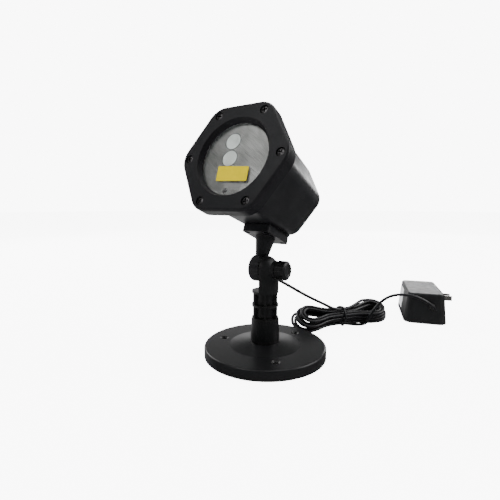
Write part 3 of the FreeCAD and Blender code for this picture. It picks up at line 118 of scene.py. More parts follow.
def hank_axes(along):
    """The directions across the hank and through its layers, flatter towards the far end."""
    share = 0.5 + along / (2 * (SHOULDER + LOBE))
    lean = LEAN_NEAR + (LEAN_FAR - LEAN_NEAR) * share
    across = HANK_FRONT * -math.cos(lean) + UPWARD * math.sin(lean)
    return across, HANK_FRONT * math.sin(lean) + UPWARD * math.cos(lean)


def hank_point(along, across, pile):
    """A point of the hank from its place along it, across it and through its layers."""
    sideways, through = hank_axes(along)
    lift = TIP_RISE * max((along - RISE_FROM) / RISE_OVER, 0.0) ** 2
    middle = HANK_CENTRE + HANK_ALONG * along + UPWARD * (RESTING + lift)
    return middle + sideways * across + through * pile


def beside_hank(along, front, height):
    """A point on the floor beside or under the hank."""
    return HANK_CENTRE + HANK_ALONG * along + HANK_FRONT * front + UPWARD * height


print("hank middle stands", round(RESTING, 1), "mm over the floor at its near lobe")

# %% [markdown]
# ## The loops of the hank
# A real hank is two bunches of loops pinched by the tie. Each loop here is 28 points: two half
# circles for the lobes and two runs that draw in at the waist. The lobes' points stand a little
# outside the wanted circle, because a quadratic curve cuts inside its points. Where nothing ties
# them, the layers fan out and no two loops reach equally far, which is what makes a hank look
# wound by hand.

# %% Points of the hank
LOBE_STEPS, RUN_STEPS = 6, 8
SWELL = 4 / (3 + math.cos(math.pi / LOBE_STEPS))
PINCH = 1.5  # how soon a run draws in towards the waist
CLIMB = 0.25  # the share of a turn that the line takes to climb to the next layer
NEAR, FAR = -1, 1
REACH = {NEAR: (-5.2, -3.8, -1.9, 0.6), FAR: (-3.6, -1.8, -0.2, 1.2)}  # layer by layer, outwards
ASIDE = {NEAR: (0.9, -0.8, 0.9, -0.8), FAR: (0.4, 0.2, -0.2, -0.4)}  # layer by layer, sideways
FAN = 0.04


def loop_shape(share, drawn):
    """The place along and across one loop, from its share of a turn.

    A turn starts on the upper side of the near lobe, at the beginning of a run.
    """
    lobe = LOBE - drawn
    run_share = RUN_STEPS / (2 * (RUN_STEPS + LOBE_STEPS))
    half, share = (0, share) if share < 0.5 else (1, share - 0.5)
    if share <= run_share:
        t = share / run_share
        dip = min(PINCH * (1 - abs(2 * t - 1)), 1.0)
        dip = 2 * dip * dip if dip < 0.5 else 1 - 2 * (1 - dip) ** 2
        along, across = SHOULDER * (2 * t - 1), lobe - DRAW_IN * dip
    else:
        angle = math.pi * (share - run_share) / (0.5 - run_share)
        along = SHOULDER + lobe * SWELL * math.sin(angle)
        across = lobe * SWELL * math.cos(angle)
    return (along, across) if half == 0 else (-along, -across)


def between_layers(row, level):
    """A row's value at a level, which may lie between two layers."""
    low = int(level)
    high = min(low + 1, LAYERS - 1)
    share = level - low
    return row[low] * (1 - share) + row[high] * share


def hank_loops():
    """The points of all loops in the order in which the lead is wound."""
    per_turn = 2 * (RUN_STEPS + LOBE_STEPS)
    first, last = RUN_STEPS, per_turn * LAYERS * LOOPS_PER_LAYER
    points = []
    for i in range(first, last + 1):
        turns = i / per_turn
        wound = turns % (2 * LOOPS_PER_LAYER)
        drawn = min(wound, 2 * LOOPS_PER_LAYER - wound) * LOOP_STEP
        # A layer's last point still belongs to that layer.
        layer = min(int((turns - 1e-9) / LOOPS_PER_LAYER), LAYERS - 1)
        climb = min((turns - layer * LOOPS_PER_LAYER) / CLIMB, 1.0) if layer else 1.0
        level = layer - 1 + climb
        along, across = loop_shape(turns % 1.0, drawn)
        free = min(abs(along) / SHOULDER, 1.0) ** 2
        end = FAR if along > 0 else NEAR
        reach = between_layers(REACH[end], level)
        aside = between_layers(ASIDE[end], level)
        pile = -HALF_PILE + (LAYERS - 1 - level) * LAYER_STEP * (1 + FAN * free)
        points.append(hank_point(along + end * reach * free, across + aside * free, pile))
    return points


loops = hank_loops()
print("hank points", len(loops), "in", LAYERS * LOOPS_PER_LAYER, "loops")

# %% [markdown]
# ## Drop and tail
# The drop leaves the sleeve straight, turns behind the hinge, slopes down on to the hank and lies
# along its top, through the tie, into the first loop. The tail comes out under the waist, climbs
# off the floor beside it and swings into the adapter's relief. These few points follow what the
# photograph shows, and the sag between them comes from the curve.

# %% The whole line as one NURBS curve
WAIST = LOBE - DRAW_IN
STRAIGHT = 7.0  # how far the lead runs straight at either sleeve
SLEEVE_TIP, SLEEVE_AIM = Vector((-13.4, 17.6, 96.4)), Vector((0.0, -0.362, -0.932))
RELIEF_TIP, INTO_CASE = Vector((129.43, 166.24, 22.0)), Vector((-0.2635, 0.9647, 0.0))
CURVE_STEPS = 6
drop = [
    SLEEVE_TIP,
    SLEEVE_TIP + SLEEVE_AIM * STRAIGHT,
    Vector((-12.8, 18.0, 80.5)),
    Vector((-7.5, 22.0, 72.5)),
    Vector((1.0, 30.0, 65.5)),
    Vector((7.5, 46.5, 55.5)),
    Vector((13.0, 69.0, 43.0)),
    hank_point(-23.0, 4.0, HALF_PILE + 10.0),
    hank_point(-12.6, 0.6, HALF_PILE + 5.4),
    hank_point(-5.0, -0.6, HALF_PILE + 3.6),
    hank_point(4.0, 0.0, HALF_PILE + 3.5),
    hank_point(13.0, 2.6, HALF_PILE + 3.6),
    hank_point(21.0, 6.2, HALF_PILE + 3.8),
    hank_point(28.0, 9.8, HALF_PILE + 3.7),
    hank_point(34.0, 13.0, HALF_PILE + 2.2),
]
tail = [
    hank_point(-36.0, LOBE - 0.4, -HALF_PILE - 0.4),
    hank_point(-28.0, WAIST + 2.9, -HALF_PILE - 1.0),
    hank_point(-18.0, WAIST + 2.2, -HALF_PILE - 2.6),
    beside_hank(-10, -12.6, 7.0),
    beside_hank(0, -9.0, 2.4),
    beside_hank(12, -2.5, 2.0),
    beside_hank(21.0, 5.2, 2.5),
    beside_hank(26.0, 12.8, 6.2),
    beside_hank(25.2, 18.2, 14.8),
    Vector((74.5, 119.6, 27.0)),
    Vector((82.0, 123.0, 36.8)),
    Vector((92.0, 128.0, 42.5)),
    Vector((104.0, 134.7, 42.8)),
    Vector((116.0, 139.8, 40.0)),
    Vector((126.0, 145.0, 33.8)),
    Vector((131.4, 151.2, 27.0)),
    RELIEF_TIP - INTO_CASE * STRAIGHT,
    RELIEF_TIP,
]


def smooth_line(name, points):
    """Points along a NURBS curve with the given control points, in metres."""
    route = bpy.data.curves.new(name, "CURVE")
    route.dimensions = "3D"
    route.resolution_u = CURVE_STEPS
    spline = route.splines.new("NURBS")
    spline.points.add(len(points) - 1)
    for held, place in zip(spline.points, points):
        held.co = (*(place * MM), 1.0)
    spline.order_u = 3
    spline.use_endpoint_u = True
    holder = show(name, route)
    places = [v.co.copy() for v in as_mesh(holder).vertices]
    bpy.data.objects.remove(holder)
    return places


lead_line = smooth_line("lead_route", drop + loops + tail)

# %% [markdown]
# ## A tree that sweeps the lead
# A curve could carry the tube as a bevel. Geometry Nodes' Curve to Mesh does the same along a line
# of points, and its tree has named inputs for the radius, the number of sides and the finish. So
# one tree draws the lead here and the thinner wire of its tie later. Like every tree in this
# lesson, it ends by making its instances real and setting the finish, and what it grows is kept
# as a plain mesh.

# %% Tree that sweeps a round section along a line
def new_tree(name, inputs, output):
    """A Geometry Nodes tree with named inputs, and the calls that add and join its nodes."""
    tree = bpy.data.node_groups.new(name, "GeometryNodeTree")
    for label, kind in inputs:
        tree.interface.new_socket(label, in_out="INPUT", socket_type="NodeSocket" + kind)
    tree.interface.new_socket(output, in_out="OUTPUT", socket_type="NodeSocketGeometry")
    return tree, tree.nodes.new, tree.links.new


def sweep_tree():
    """A tree that sweeps a circle along a line and closes its ends."""
    inputs = [("Line", "Geometry"), ("Radius", "Float"), ("Sides", "Int"), ("Finish", "Material")]
    tree, made, join = new_tree("round_lead", inputs, "Lead")
    given, result = made("NodeGroupInput"), made("NodeGroupOutput")
    curve, section = made("GeometryNodeMeshToCurve"), made("GeometryNodeCurvePrimitiveCircle")
    sweep, smooth = made("GeometryNodeCurveToMesh"), made("GeometryNodeSetShadeSmooth")
    sweep.inputs["Fill Caps"].default_value = True
    real, coat = made("GeometryNodeRealizeInstances"), made("GeometryNodeSetMaterial")
    join(given.outputs["Line"], curve.inputs["Mesh"])
    join(given.outputs["Sides"], section.inputs["Resolution"])
    join(given.outputs["Radius"], section.inputs["Radius"])
    join(curve.outputs["Curve"], sweep.inputs["Curve"])
    join(section.outputs["Curve"], sweep.inputs["Profile Curve"])
    join(sweep.outputs["Mesh"], smooth.inputs["Geometry"])
    join(smooth.outputs["Geometry"], real.inputs["Geometry"])
    join(real.outputs["Geometry"], coat.inputs["Geometry"])
    join(given.outputs["Finish"], coat.inputs["Material"])
    join(coat.outputs["Geometry"], result.inputs["Lead"])
    return tree


def grow(name, start_mesh, tree, inputs):
    """Run a Geometry Nodes tree on a mesh and keep the result as a plain mesh piece."""
    seed = show(name + "_seed", start_mesh)
    step = seed.modifiers.new("grow", "NODES")
    step.node_group = tree
    for socket in tree.interface.items_tree:
        if socket.item_type == "SOCKET" and socket.in_out == "INPUT" and socket.name in inputs:
            step[socket.identifier] = inputs[socket.name]
    grown = as_mesh(seed)
    grown.name = name
    bpy.data.objects.remove(seed)
    return show(name, grown)


def line_mesh(name, places):
    """A mesh of one open line through the places."""
    mesh = bpy.data.meshes.new(name)
    mesh.from_pydata(places, [(i, i + 1) for i in range(len(places) - 1)], [])
    return mesh


round_lead = sweep_tree()
print("sweep tree has", len(round_lead.nodes), "nodes")

# %% [markdown]
# ## How the finishes are written
# Every finish starts from the Principled shader. What varies over a surface, such as colour, gloss
# and grain, comes from noise in object coordinates, so it sits still on the piece from every side.
# What is the same everywhere is typed on the shader itself. Small helpers keep each finish to a
# few lines.

# %% Helpers for single traits
NOISE_LOW, NOISE_HIGH = 0.3, 0.7  # between these lies nearly all of a noise
EVENLY = (1.0, 1.0, 1.0)


def finish(name, **fixed):
    """A new material and its shader, with the values that are the same all over."""
    material = bpy.data.materials.new(name)
    material.use_nodes = True
    shader = material.node_tree.nodes["Principled BSDF"]
    for socket, value in fixed.items():
        shader.inputs[socket.replace("_", " ")].default_value = value
    return material, shader


def field(material, scale, detail, stretch=EVENLY):
    """A noise value in object coordinates, stretched for brushing or streaks."""
    tree = material.node_tree
    place = tree.nodes.new("ShaderNodeTexCoord")
    mapping = tree.nodes.new("ShaderNodeMapping")
    mapping.inputs["Scale"].default_value = stretch
    noise = tree.nodes.new("ShaderNodeTexNoise")
    noise.inputs["Scale"].default_value = scale
    noise.inputs["Detail"].default_value = detail
    tree.links.new(place.outputs["Object"], mapping.inputs["Vector"])
    tree.links.new(mapping.outputs["Vector"], noise.inputs["Vector"])
    return noise.outputs["Fac"]


def ramp_of(tree, stops):
    """A colour ramp with the given (place, colour) stops."""
    ramp = tree.nodes.new("ShaderNodeValToRGB")
    bands = ramp.color_ramp.elements
    for index, (place, colour) in ((0, stops[0]), (1, stops[-1])):
        bands[index].position, bands[index].color = place, (*colour, 1)
    for place, colour in stops[1:-1]:
        bands.new(place).color = (*colour, 1)
    return ramp


def span_of(tree, source, target=(0.0, 1.0)):
    """A Map Range node that takes one pair of limits to another."""
    span = tree.nodes.new("ShaderNodeMapRange")
    span.inputs["From Min"].default_value, span.inputs["From Max"].default_value = source
    span.inputs["To Min"].default_value, span.inputs["To Max"].default_value = target
    return span


def tint(material, shader, value, stops):
    """Colour from a value, through a ramp of stops."""
    tree = material.node_tree
    ramp = ramp_of(tree, stops)
    tree.links.new(value, ramp.inputs["Fac"])
    tree.links.new(ramp.outputs["Color"], shader.inputs["Base Color"])


def gloss(material, shader, value, low, high):
    """Roughness between two limits, from a value."""
    tree = material.node_tree
    span = span_of(tree, (NOISE_LOW, NOISE_HIGH), (low, high))
    tree.links.new(value, span.inputs["Value"])
    tree.links.new(span.outputs["Result"], shader.inputs["Roughness"])


def relief(material, shader, value, strength, depth):
    """Fine bumps of a given depth in metres, from a value."""
    tree = material.node_tree
    bump = tree.nodes.new("ShaderNodeBump")
    bump.inputs["Strength"].default_value = strength
    bump.inputs["Distance"].default_value = depth
    tree.links.new(value, bump.inputs["Height"])
    tree.links.new(bump.outputs["Normal"], shader.inputs["Normal"])


print("helpers for colour, gloss and grain ready")

# %% [markdown]
# ## One finish from three noises
# Most finishes here vary in the same three ways, each at a scale of its own: two close tones in
# broad patches, a gloss that handling has made uneven, and a grain that only a close look shows.
# So one function takes the three, and the finishes below differ in their numbers.

# %% Helper for a whole finish
def surface(name, tones, sheen, grain, stretch=EVENLY, **fixed):
    """A finish with two tones, an uneven gloss and a fine grain, each from its own noise.

    Each begins with the noise's scale and detail. Then tones has the dark and the light colour,
    sheen the least and the most roughness, and grain the strength and the depth in metres.
    """
    material, shader = finish(name, **fixed)
    scale, detail, dark, light = tones
    tint(material, shader, field(material, scale, detail, stretch),
         [(NOISE_LOW, dark), (NOISE_HIGH, light)])
    scale, detail, low, high = sheen
    gloss(material, shader, field(material, scale, detail, stretch), low, high)
    scale, detail, strength, depth = grain
    relief(material, shader, field(material, scale, detail, stretch), strength, depth)
    return material


print("helper for a whole finish ready")

# %% [markdown]
# ## Moulded black plastic
# The head, post, foot, knob and adapter are moulded in black plastic, but not with one gloss. The
# body has a fine spark-eroded pebble, the bezel is duller with a finer grain, and the foot is the
# glossiest and has hardly any grain. A maker gets these from the tool's texture, so here one
# function takes the grain's scale, its depth and the limits of roughness.

# %% Finishes for moulded plastic
def moulded(name, dark, light, rough, grain, depth, specular=0.35):
    """Black plastic with the texture that its mould gives."""
    return surface(name, tones=(55.0, 4.0, dark, light), sheen=(140.0, 6.0, *rough),
                   grain=(grain, 2.0, 0.35, depth), Specular_IOR_Level=specular)


body_black = moulded("body_black", dark=(0.0045, 0.0045, 0.0055), light=(0.007, 0.007, 0.0082),
                     rough=(0.34, 0.44), grain=2600.0, depth=0.00006, specular=0.30)
bezel_black = moulded("bezel_black", dark=(0.0045, 0.0045, 0.0056), light=(0.007, 0.007, 0.0083),
                      rough=(0.40, 0.50), grain=3000.0, depth=0.00005, specular=0.20)
foot_black = moulded("foot_black", dark=(0.0058, 0.0058, 0.0065), light=(0.0075, 0.0075, 0.0082),
                     rough=(0.29, 0.32), grain=1500.0, depth=0.0000004, specular=0.24)
post_black = moulded("post_black", dark=(0.0045, 0.0045, 0.005), light=(0.007, 0.007, 0.0075),
                     rough=(0.36, 0.46), grain=2800.0, depth=0.00005)
adapter_black = moulded("adapter_black", dark=(0.006, 0.006, 0.0068),
                        light=(0.0095, 0.0095, 0.0105),
                        rough=(0.36, 0.48), grain=2000.0, depth=0.00008)
plastics = (body_black, bezel_black, foot_black, post_black, adapter_black)
print("moulded finishes", [plastic.name for plastic in plastics])

# %% [markdown]
# ## Rubber, jacket and metal
# Gaskets, pad and sleeves are matt rubber with a slightly dusty bloom. The lead's jacket is soft
# PVC: near black, a touch blue, with a sheen that breaks up along its length. The screws are
# blackened steel, which is a rough dark metal and not a plastic, so it is metallic with worn
# lighter patches. The other metals differ from it in tone and gloss.

# %% Finishes for rubber, jacket and metal
def metal(name, dark, light, rough, gloss_scale=900.0, stretch=EVENLY):
    """Bare or coated metal, brushed where the noise is stretched."""
    return surface(name, tones=(700.0, 5.0, dark, light), sheen=(gloss_scale, 4.0, *rough),
                   grain=(4000.0, 2.0, 0.15, 0.00002), stretch=stretch, Metallic=1.0)


rubber = surface("rubber", tones=(220.0, 5.0, (0.008, 0.008, 0.008), (0.016, 0.016, 0.016)),
                 sheen=(400.0, 4.0, 0.6, 0.75), grain=(5200.0, 2.0, 0.4, 0.00004),
                 Specular_IOR_Level=0.25)
jacket = surface("lead_jacket", tones=(300.0, 4.0, (0.003, 0.003, 0.004), (0.006, 0.006, 0.008)),
                 sheen=(500.0, 4.0, 0.33, 0.45), grain=(3800.0, 2.0, 0.25, 0.00003),
                 Specular_IOR_Level=0.4)
black_screw = metal("black_screw", dark=(0.055, 0.054, 0.056), light=(0.115, 0.112, 0.115),
                    rough=(0.32, 0.46))
zinc_steel = metal("zinc_steel", dark=(0.45, 0.45, 0.46), light=(0.62, 0.62, 0.63),
                   rough=(0.28, 0.42))
dark_steel = metal("dark_steel", dark=(0.10, 0.10, 0.105), light=(0.18, 0.18, 0.185),
                   rough=(0.35, 0.5))
brass = metal("brass", dark=(0.50, 0.34, 0.12), light=(0.66, 0.46, 0.18), rough=(0.25, 0.38))
blade_nickel = metal("blade_nickel", dark=(0.55, 0.54, 0.52), light=(0.70, 0.69, 0.67),
                     rough=(0.2, 0.32), gloss_scale=1200.0, stretch=(1.0, 1.0, 6.0))
holder_alloy = metal("holder_alloy", dark=(0.42, 0.43, 0.44), light=(0.56, 0.57, 0.58),
                     rough=(0.35, 0.5), gloss_scale=800.0, stretch=(1.0, 8.0, 1.0))
print("rubber, jacket and metal finishes ready")

# %% [markdown]
# ## Behind the window
# The plate behind the glass is rolled metal, brushed on a slant, so its sheen runs in bands: the
# noise is stretched thirty times longer along the brushing than across it. To lay the brushing in
# the plate's own plane, the noise is read in the lamp's frame, which leans back with the head.
# Each disc is frosted glass set in a recess, and the dark line round it is the shadow in the
# narrow gap, which a ring in the plate's colour draws more surely than light.

# %% Brushing and rings in the lamp's frame
TILT = math.radians(21.21)
LAMP_CENTRE = Vector((-6.4, 27.496, 153.884))
LAMP = Matrix.Translation(LAMP_CENTRE * MM) @ Matrix.Rotation(-TILT, 4, "X")
DISCS = [(-6.5, 17.0), (-6.5, 1.5)]
PLATE_FACE = -71.2  # along the lamp's axis, which points out of its back
RING_INSIDE, RING_OUTSIDE = 7.3, 7.9
BRUSH_SLANT = math.radians(38)
BRUSH_SCALE, BRUSH_DETAIL, BRUSH_ROUGHNESS = 90.0, 7.0, 0.62
BRUSH_STRETCH = (1.0, 1.0, 1 / 30)


def lamp_place(material):
    """Object coordinates turned into the lamp's own frame."""
    tree = material.node_tree
    place = tree.nodes.new("ShaderNodeTexCoord")
    into = tree.nodes.new("ShaderNodeMapping")
    back = LAMP.inverted()
    into.inputs["Location"].default_value = back.to_translation()
    into.inputs["Rotation"].default_value = back.to_euler()
    tree.links.new(place.outputs["Object"], into.inputs["Vector"])
    return into.outputs["Vector"]


def brushed(material, place):
    """Streaks on a slant across the lamp's face."""
    tree = material.node_tree
    slant = tree.nodes.new("ShaderNodeMapping")
    slant.vector_type = "TEXTURE"
    slant.inputs["Rotation"].default_value = (0.0, BRUSH_SLANT, 0.0)
    slant.inputs["Scale"].default_value = BRUSH_STRETCH
    noise = tree.nodes.new("ShaderNodeTexNoise")
    noise.inputs["Scale"].default_value = BRUSH_SCALE
    noise.inputs["Detail"].default_value = BRUSH_DETAIL
    noise.inputs["Roughness"].default_value = BRUSH_ROUGHNESS
    tree.links.new(place, slant.inputs["Vector"])
    tree.links.new(slant.outputs["Vector"], noise.inputs["Vector"])
    return noise.outputs["Fac"]


def disc_shade(material, place, value):
    """The value made dark in a thin ring round each disc."""
    tree = material.node_tree
    for across, up in DISCS:
        distance = tree.nodes.new("ShaderNodeVectorMath")
        distance.operation = "DISTANCE"
        distance.inputs[1].default_value = (across * MM, PLATE_FACE * MM, up * MM)
        edge = span_of(tree, (RING_INSIDE * MM, RING_OUTSIDE * MM))
        edge.interpolation_type = "SMOOTHSTEP"
        both = tree.nodes.new("ShaderNodeMath")
        both.operation = "MULTIPLY"
        tree.links.new(place, distance.inputs[0])
        tree.links.new(distance.outputs["Value"], edge.inputs["Value"])
        tree.links.new(value, both.inputs[0])
        tree.links.new(edge.outputs["Result"], both.inputs[1])
        value = both.outputs["Value"]
    return value


print("brushing leans", round(math.degrees(BRUSH_SLANT)), "degrees")

# %% [markdown]
# ## Plate, discs, glass, lens and board
# The plate's colour and gloss follow the same streaks, as they do on brushed metal. The window is
# clear and only its sheen shows, so it is nearly see-through: a low alpha keeps the reflection and
# lets the plate show without the noise of true refraction. The receiver's lens is a plum-dark
# filter. The board is hidden behind the plate, yet it is a real piece, so it gets a real finish.

# %% Finishes behind the window
plate_steel, plate_shader = finish("plate_steel", Metallic=1.0, Anisotropic=0.5)
plate_place = lamp_place(plate_steel)
streaks = brushed(plate_steel, plate_place)
tint(plate_steel, plate_shader, disc_shade(plate_steel, plate_place, streaks),
     [(0.0, (0.02, 0.02, 0.02)), (0.32, (0.15, 0.15, 0.145)), (0.68, (0.36, 0.36, 0.35))])
gloss(plate_steel, plate_shader, streaks, low=0.30, high=0.46)
relief(plate_steel, plate_shader, streaks, strength=0.08, depth=0.00002)

frosted = surface("frosted_glass", tones=(900.0, 4.0, (0.56, 0.61, 0.58), (0.68, 0.72, 0.69)),
                  sheen=(1600.0, 3.0, 0.35, 0.5), grain=(9000.0, 2.0, 0.3, 0.00002),
                  Specular_IOR_Level=0.4)

window_clear, window_shader = finish("window_clear", Base_Color=(0.8, 0.85, 0.83, 1.0),
                                     Alpha=0.05, Specular_IOR_Level=0.5)
gloss(window_clear, window_shader, field(window_clear, scale=60.0, detail=3.0),
      low=0.03, high=0.07)

lens_dark, lens_shader = finish("lens_dark", Specular_IOR_Level=0.5)
tint(lens_dark, lens_shader, field(lens_dark, scale=500.0, detail=3.0),
     [(NOISE_LOW, (0.010, 0.004, 0.007)), (NOISE_HIGH, (0.020, 0.008, 0.012))])
gloss(lens_dark, lens_shader, field(lens_dark, scale=800.0, detail=3.0), low=0.1, high=0.2)

board_green, board_shader = finish("board_green", Specular_IOR_Level=0.45)
tint(board_green, board_shader, field(board_green, scale=900.0, detail=2.0),
     [(0.40, (0.006, 0.055, 0.022)), (0.60, (0.012, 0.085, 0.035))])
gloss(board_green, board_shader, field(board_green, scale=1500.0, detail=3.0),
      low=0.25, high=0.4)
relief(board_green, board_shader, field(board_green, scale=2400.0, detail=1.0),
       strength=0.3, depth=0.00004)
print("plate, disc, glass, lens and board finishes ready")

# %% [markdown]
# ## The lead becomes a piece
# Now the sweep runs, and its tube stands for the three lengths of lead in the CAD model. The drop
# hangs from the tilting head and lies on things that stay still; here the whole tube is one plain
# piece.

# %% Lead
LEAD_SIDES = 14
lead = grow("lead", line_mesh("lead_line", lead_line), round_lead,
            {"Radius": LEAD_RADIUS * MM, "Sides": LEAD_SIDES, "Finish": jacket})
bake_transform(lead)
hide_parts("cord_drop", "cord_hank", "cord_tail")
print("lead faces", len(lead.data.polygons))

# %% [markdown]
# ## The tie round the hank's waist
# A short plastic-coated wire holds the hank. It goes once round the bunch, where the loops are
# drawn in, and its two ends are twisted together behind it. The wire is a second line for the same
# sweep: a twist, a ring and the twist again, half a turn apart, so that the two ends wind round
# each other as they do under a thumb.

# %% Wire tie
TIE_RADIUS, TIE_SIDES = 1.0, 10
TIE_RING = [  # across the bunch and through its layers
    (11.2, 0.6), (10.2, HALF_PILE - 2.2), (6.6, HALF_PILE + 2.0), (3.1, HALF_PILE + 4.4),
    (-0.4, HALF_PILE + 6.8), (-3.8, HALF_PILE + 4.9), (-8.1, HALF_PILE + 2.7),
    (-10.5, HALF_PILE - 1.0), (-10.6, 1.0 - HALF_PILE), (-8.9, -HALF_PILE - 3.1),
    (-3.0, -HALF_PILE - 2.9), (3.0, -HALF_PILE - 2.9), (7.2, -HALF_PILE - 2.9),
    (10.2, 1.0 - HALF_PILE), (11.2, -2.4),
]
TWIST_ROOT, TWIST_AIM, TWIST_SIDE = (11.4, -1.0), (0.8, -0.6), (0.6, 0.8)
TWIST_START, TWIST_PITCH, TWIST_RADIUS = 1.4, 4.4, 1.15
TWIST_POINTS, POINTS_PER_TURN = 19, 8


def twist_point(turns, phase):
    """A point of the twist behind the ring, which leaves it back and downwards."""
    out = TWIST_START + TWIST_PITCH * turns
    angle = 2 * math.pi * turns + phase
    swing = TWIST_RADIUS * math.cos(angle)
    across, pile = (root + aim * out + side * swing
                    for root, aim, side in zip(TWIST_ROOT, TWIST_AIM, TWIST_SIDE))
    return hank_point(TWIST_RADIUS * math.sin(angle), across, pile)


twist_turns = [k / POINTS_PER_TURN for k in range(TWIST_POINTS)]
tie_points = [twist_point(turns, math.pi) for turns in reversed(twist_turns)]
tie_points += [hank_point(0.0, across, pile) for across, pile in TIE_RING]
tie_points += [twist_point(turns, 0.0) for turns in twist_turns]
tie_line = line_mesh("tie_line", smooth_line("tie_route", tie_points))
wire_tie = grow("wire_tie", tie_line, round_lead,
                {"Radius": TIE_RADIUS * MM, "Sides": TIE_SIDES, "Finish": jacket})
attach(wire_tie, "base")
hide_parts("hank_tie")
print("tie faces", len(wire_tie.data.polygons))

# %% [markdown]
# ## Finishes for the CAD pieces
# The CAD pieces keep their shapes, so only their material slots change. A table of finish to
# pieces is easier to read and to correct than a line for each piece.

# %% Table of finishes
coats = {
    body_black: ["body_shell", "tilt_bracket"],
    bezel_black: ["front_bezel"],
    foot_black: ["base_shell"],
    post_black: ["post", "knob"],
    adapter_black: ["adapter_case", "adapter_cover"],
    rubber: ["base_pad", "bracket_gasket", "bezel_gasket", "window_seal", "cord_grommet",
             "adapter_relief"],
    zinc_steel: ["base_weight", "weight_screws", "board_screws"],
    dark_steel: ["clamp_bolt"],
    brass: ["knob_insert", "red_laser_module", "green_laser_module"],
    blade_nickel: ["left_prong", "right_prong"],
    window_clear: ["window_glass"],
    plate_steel: ["face_plate"],
    frosted: ["red_grating", "green_grating"],
    lens_dark: ["remote_receiver"],
    holder_alloy: ["module_holder"],
    board_green: ["driver_board"],
}
for coat, names in coats.items():
    for name in names:
        nodes[name].data.materials.clear()
        nodes[name].data.materials.append(coat)
print("coated", sum(len(names) for names in coats.values()), "CAD pieces")

# %% [markdown]
# ## Cross-head screws
# CAD keeps its screws as plain pegs. On the object they are pan heads with a cross recess. The
# bezel's nearly fill their sinks, and those under the block are smaller. One screw is turned from
# a profile and cut twice with a wedge, which is how the punch leaves the real recess.

# %% One screw
SPIN_STEPS, SAME_POINT = 36, 1e-4
POINT_RADIUS, POINT_LENGTH, SHANK_RADIUS = 0.7, 1.1, 1.45
CROWN = ((1.0, 0.0), (1.0, 0.9), (0.95, 1.25), (0.82, 1.52), (0.5, 1.74), (0.0, 1.8))
RECESS_TOP, TOP_REACH, TOP_HALF = 2.2, 0.72, 0.74
RECESS_FLOOR, FLOOR_REACH, FLOOR_HALF = 0.2, 0.5, 0.48


def turned(name, profile):
    """A mesh turned round Z from (radius, height) points, in millimetres."""
    work = bmesh.new()
    ring = [work.verts.new((r, 0.0, z)) for r, z in profile]
    edges = [work.edges.new(pair) for pair in zip(ring, ring[1:])]
    bmesh.ops.spin(work, geom=ring + edges, cent=(0, 0, 0), axis=(0, 0, 1), angle=2 * math.pi,
                   steps=SPIN_STEPS)
    bmesh.ops.remove_doubles(work, verts=work.verts, dist=SAME_POINT)
    bmesh.ops.recalc_face_normals(work, faces=work.faces)
    mesh = bpy.data.meshes.new(name)
    work.to_mesh(mesh)
    work.free()
    return mesh


def wedge(floor, top, turn):
    """A blade that narrows downwards, from (height, half length, half thickness) at each end."""
    corners = [(sx * reach, sy * half, z) for z, reach, half in (floor, top)
               for sx, sy in ((-1, -1), (1, -1), (1, 1), (-1, 1))]
    sides = [(3, 2, 1, 0), (4, 5, 6, 7), (0, 1, 5, 4), (1, 2, 6, 5), (2, 3, 7, 6), (3, 0, 4, 7)]
    mesh = bpy.data.meshes.new("wedge")
    mesh.from_pydata(corners, [], sides)
    mesh.transform(Matrix.Rotation(turn, 4, "Z"))
    return show("wedge", mesh)


def cross_screw(name, length, head):
    """A pan-head screw of a given head radius that stands on its tip at the origin, in metres."""
    shank = [(0, 0), (POINT_RADIUS, 0), (SHANK_RADIUS, POINT_LENGTH), (SHANK_RADIUS, length)]
    crown = [(share * head, length + rise) for share, rise in CROWN]
    blank = show(name, turned(name, shank + crown))
    floor = (length + RECESS_FLOOR, FLOOR_REACH * head, FLOOR_HALF)
    top = (length + RECESS_TOP, TOP_REACH * head, TOP_HALF)
    blades = [wedge(floor, top, turn) for turn in (0.0, math.pi / 2)]
    for blade in blades:
        punch = blank.modifiers.new("punch", "BOOLEAN")
        punch.object, punch.operation, punch.solver = blade, "DIFFERENCE", "EXACT"
    mesh = as_mesh(blank)
    mesh.transform(Matrix.Scale(MM, 4))
    for extra in blades + [blank]:
        bpy.data.objects.remove(extra)
    return show(name, mesh)


bezel_screw = cross_screw("bezel_screw", length=8.4, head=3.45)
block_screw = cross_screw("block_screw", length=11.4, head=2.6)
print("screw faces", len(bezel_screw.data.polygons))

# %% [markdown]
# ## Setting the screws
# One screw goes in the six corners of the bezel, and another in the four of the block. A Geometry
# Nodes tree sets it at each place with a turn of its own from a fixed seed, since no two are ever
# tightened alike.

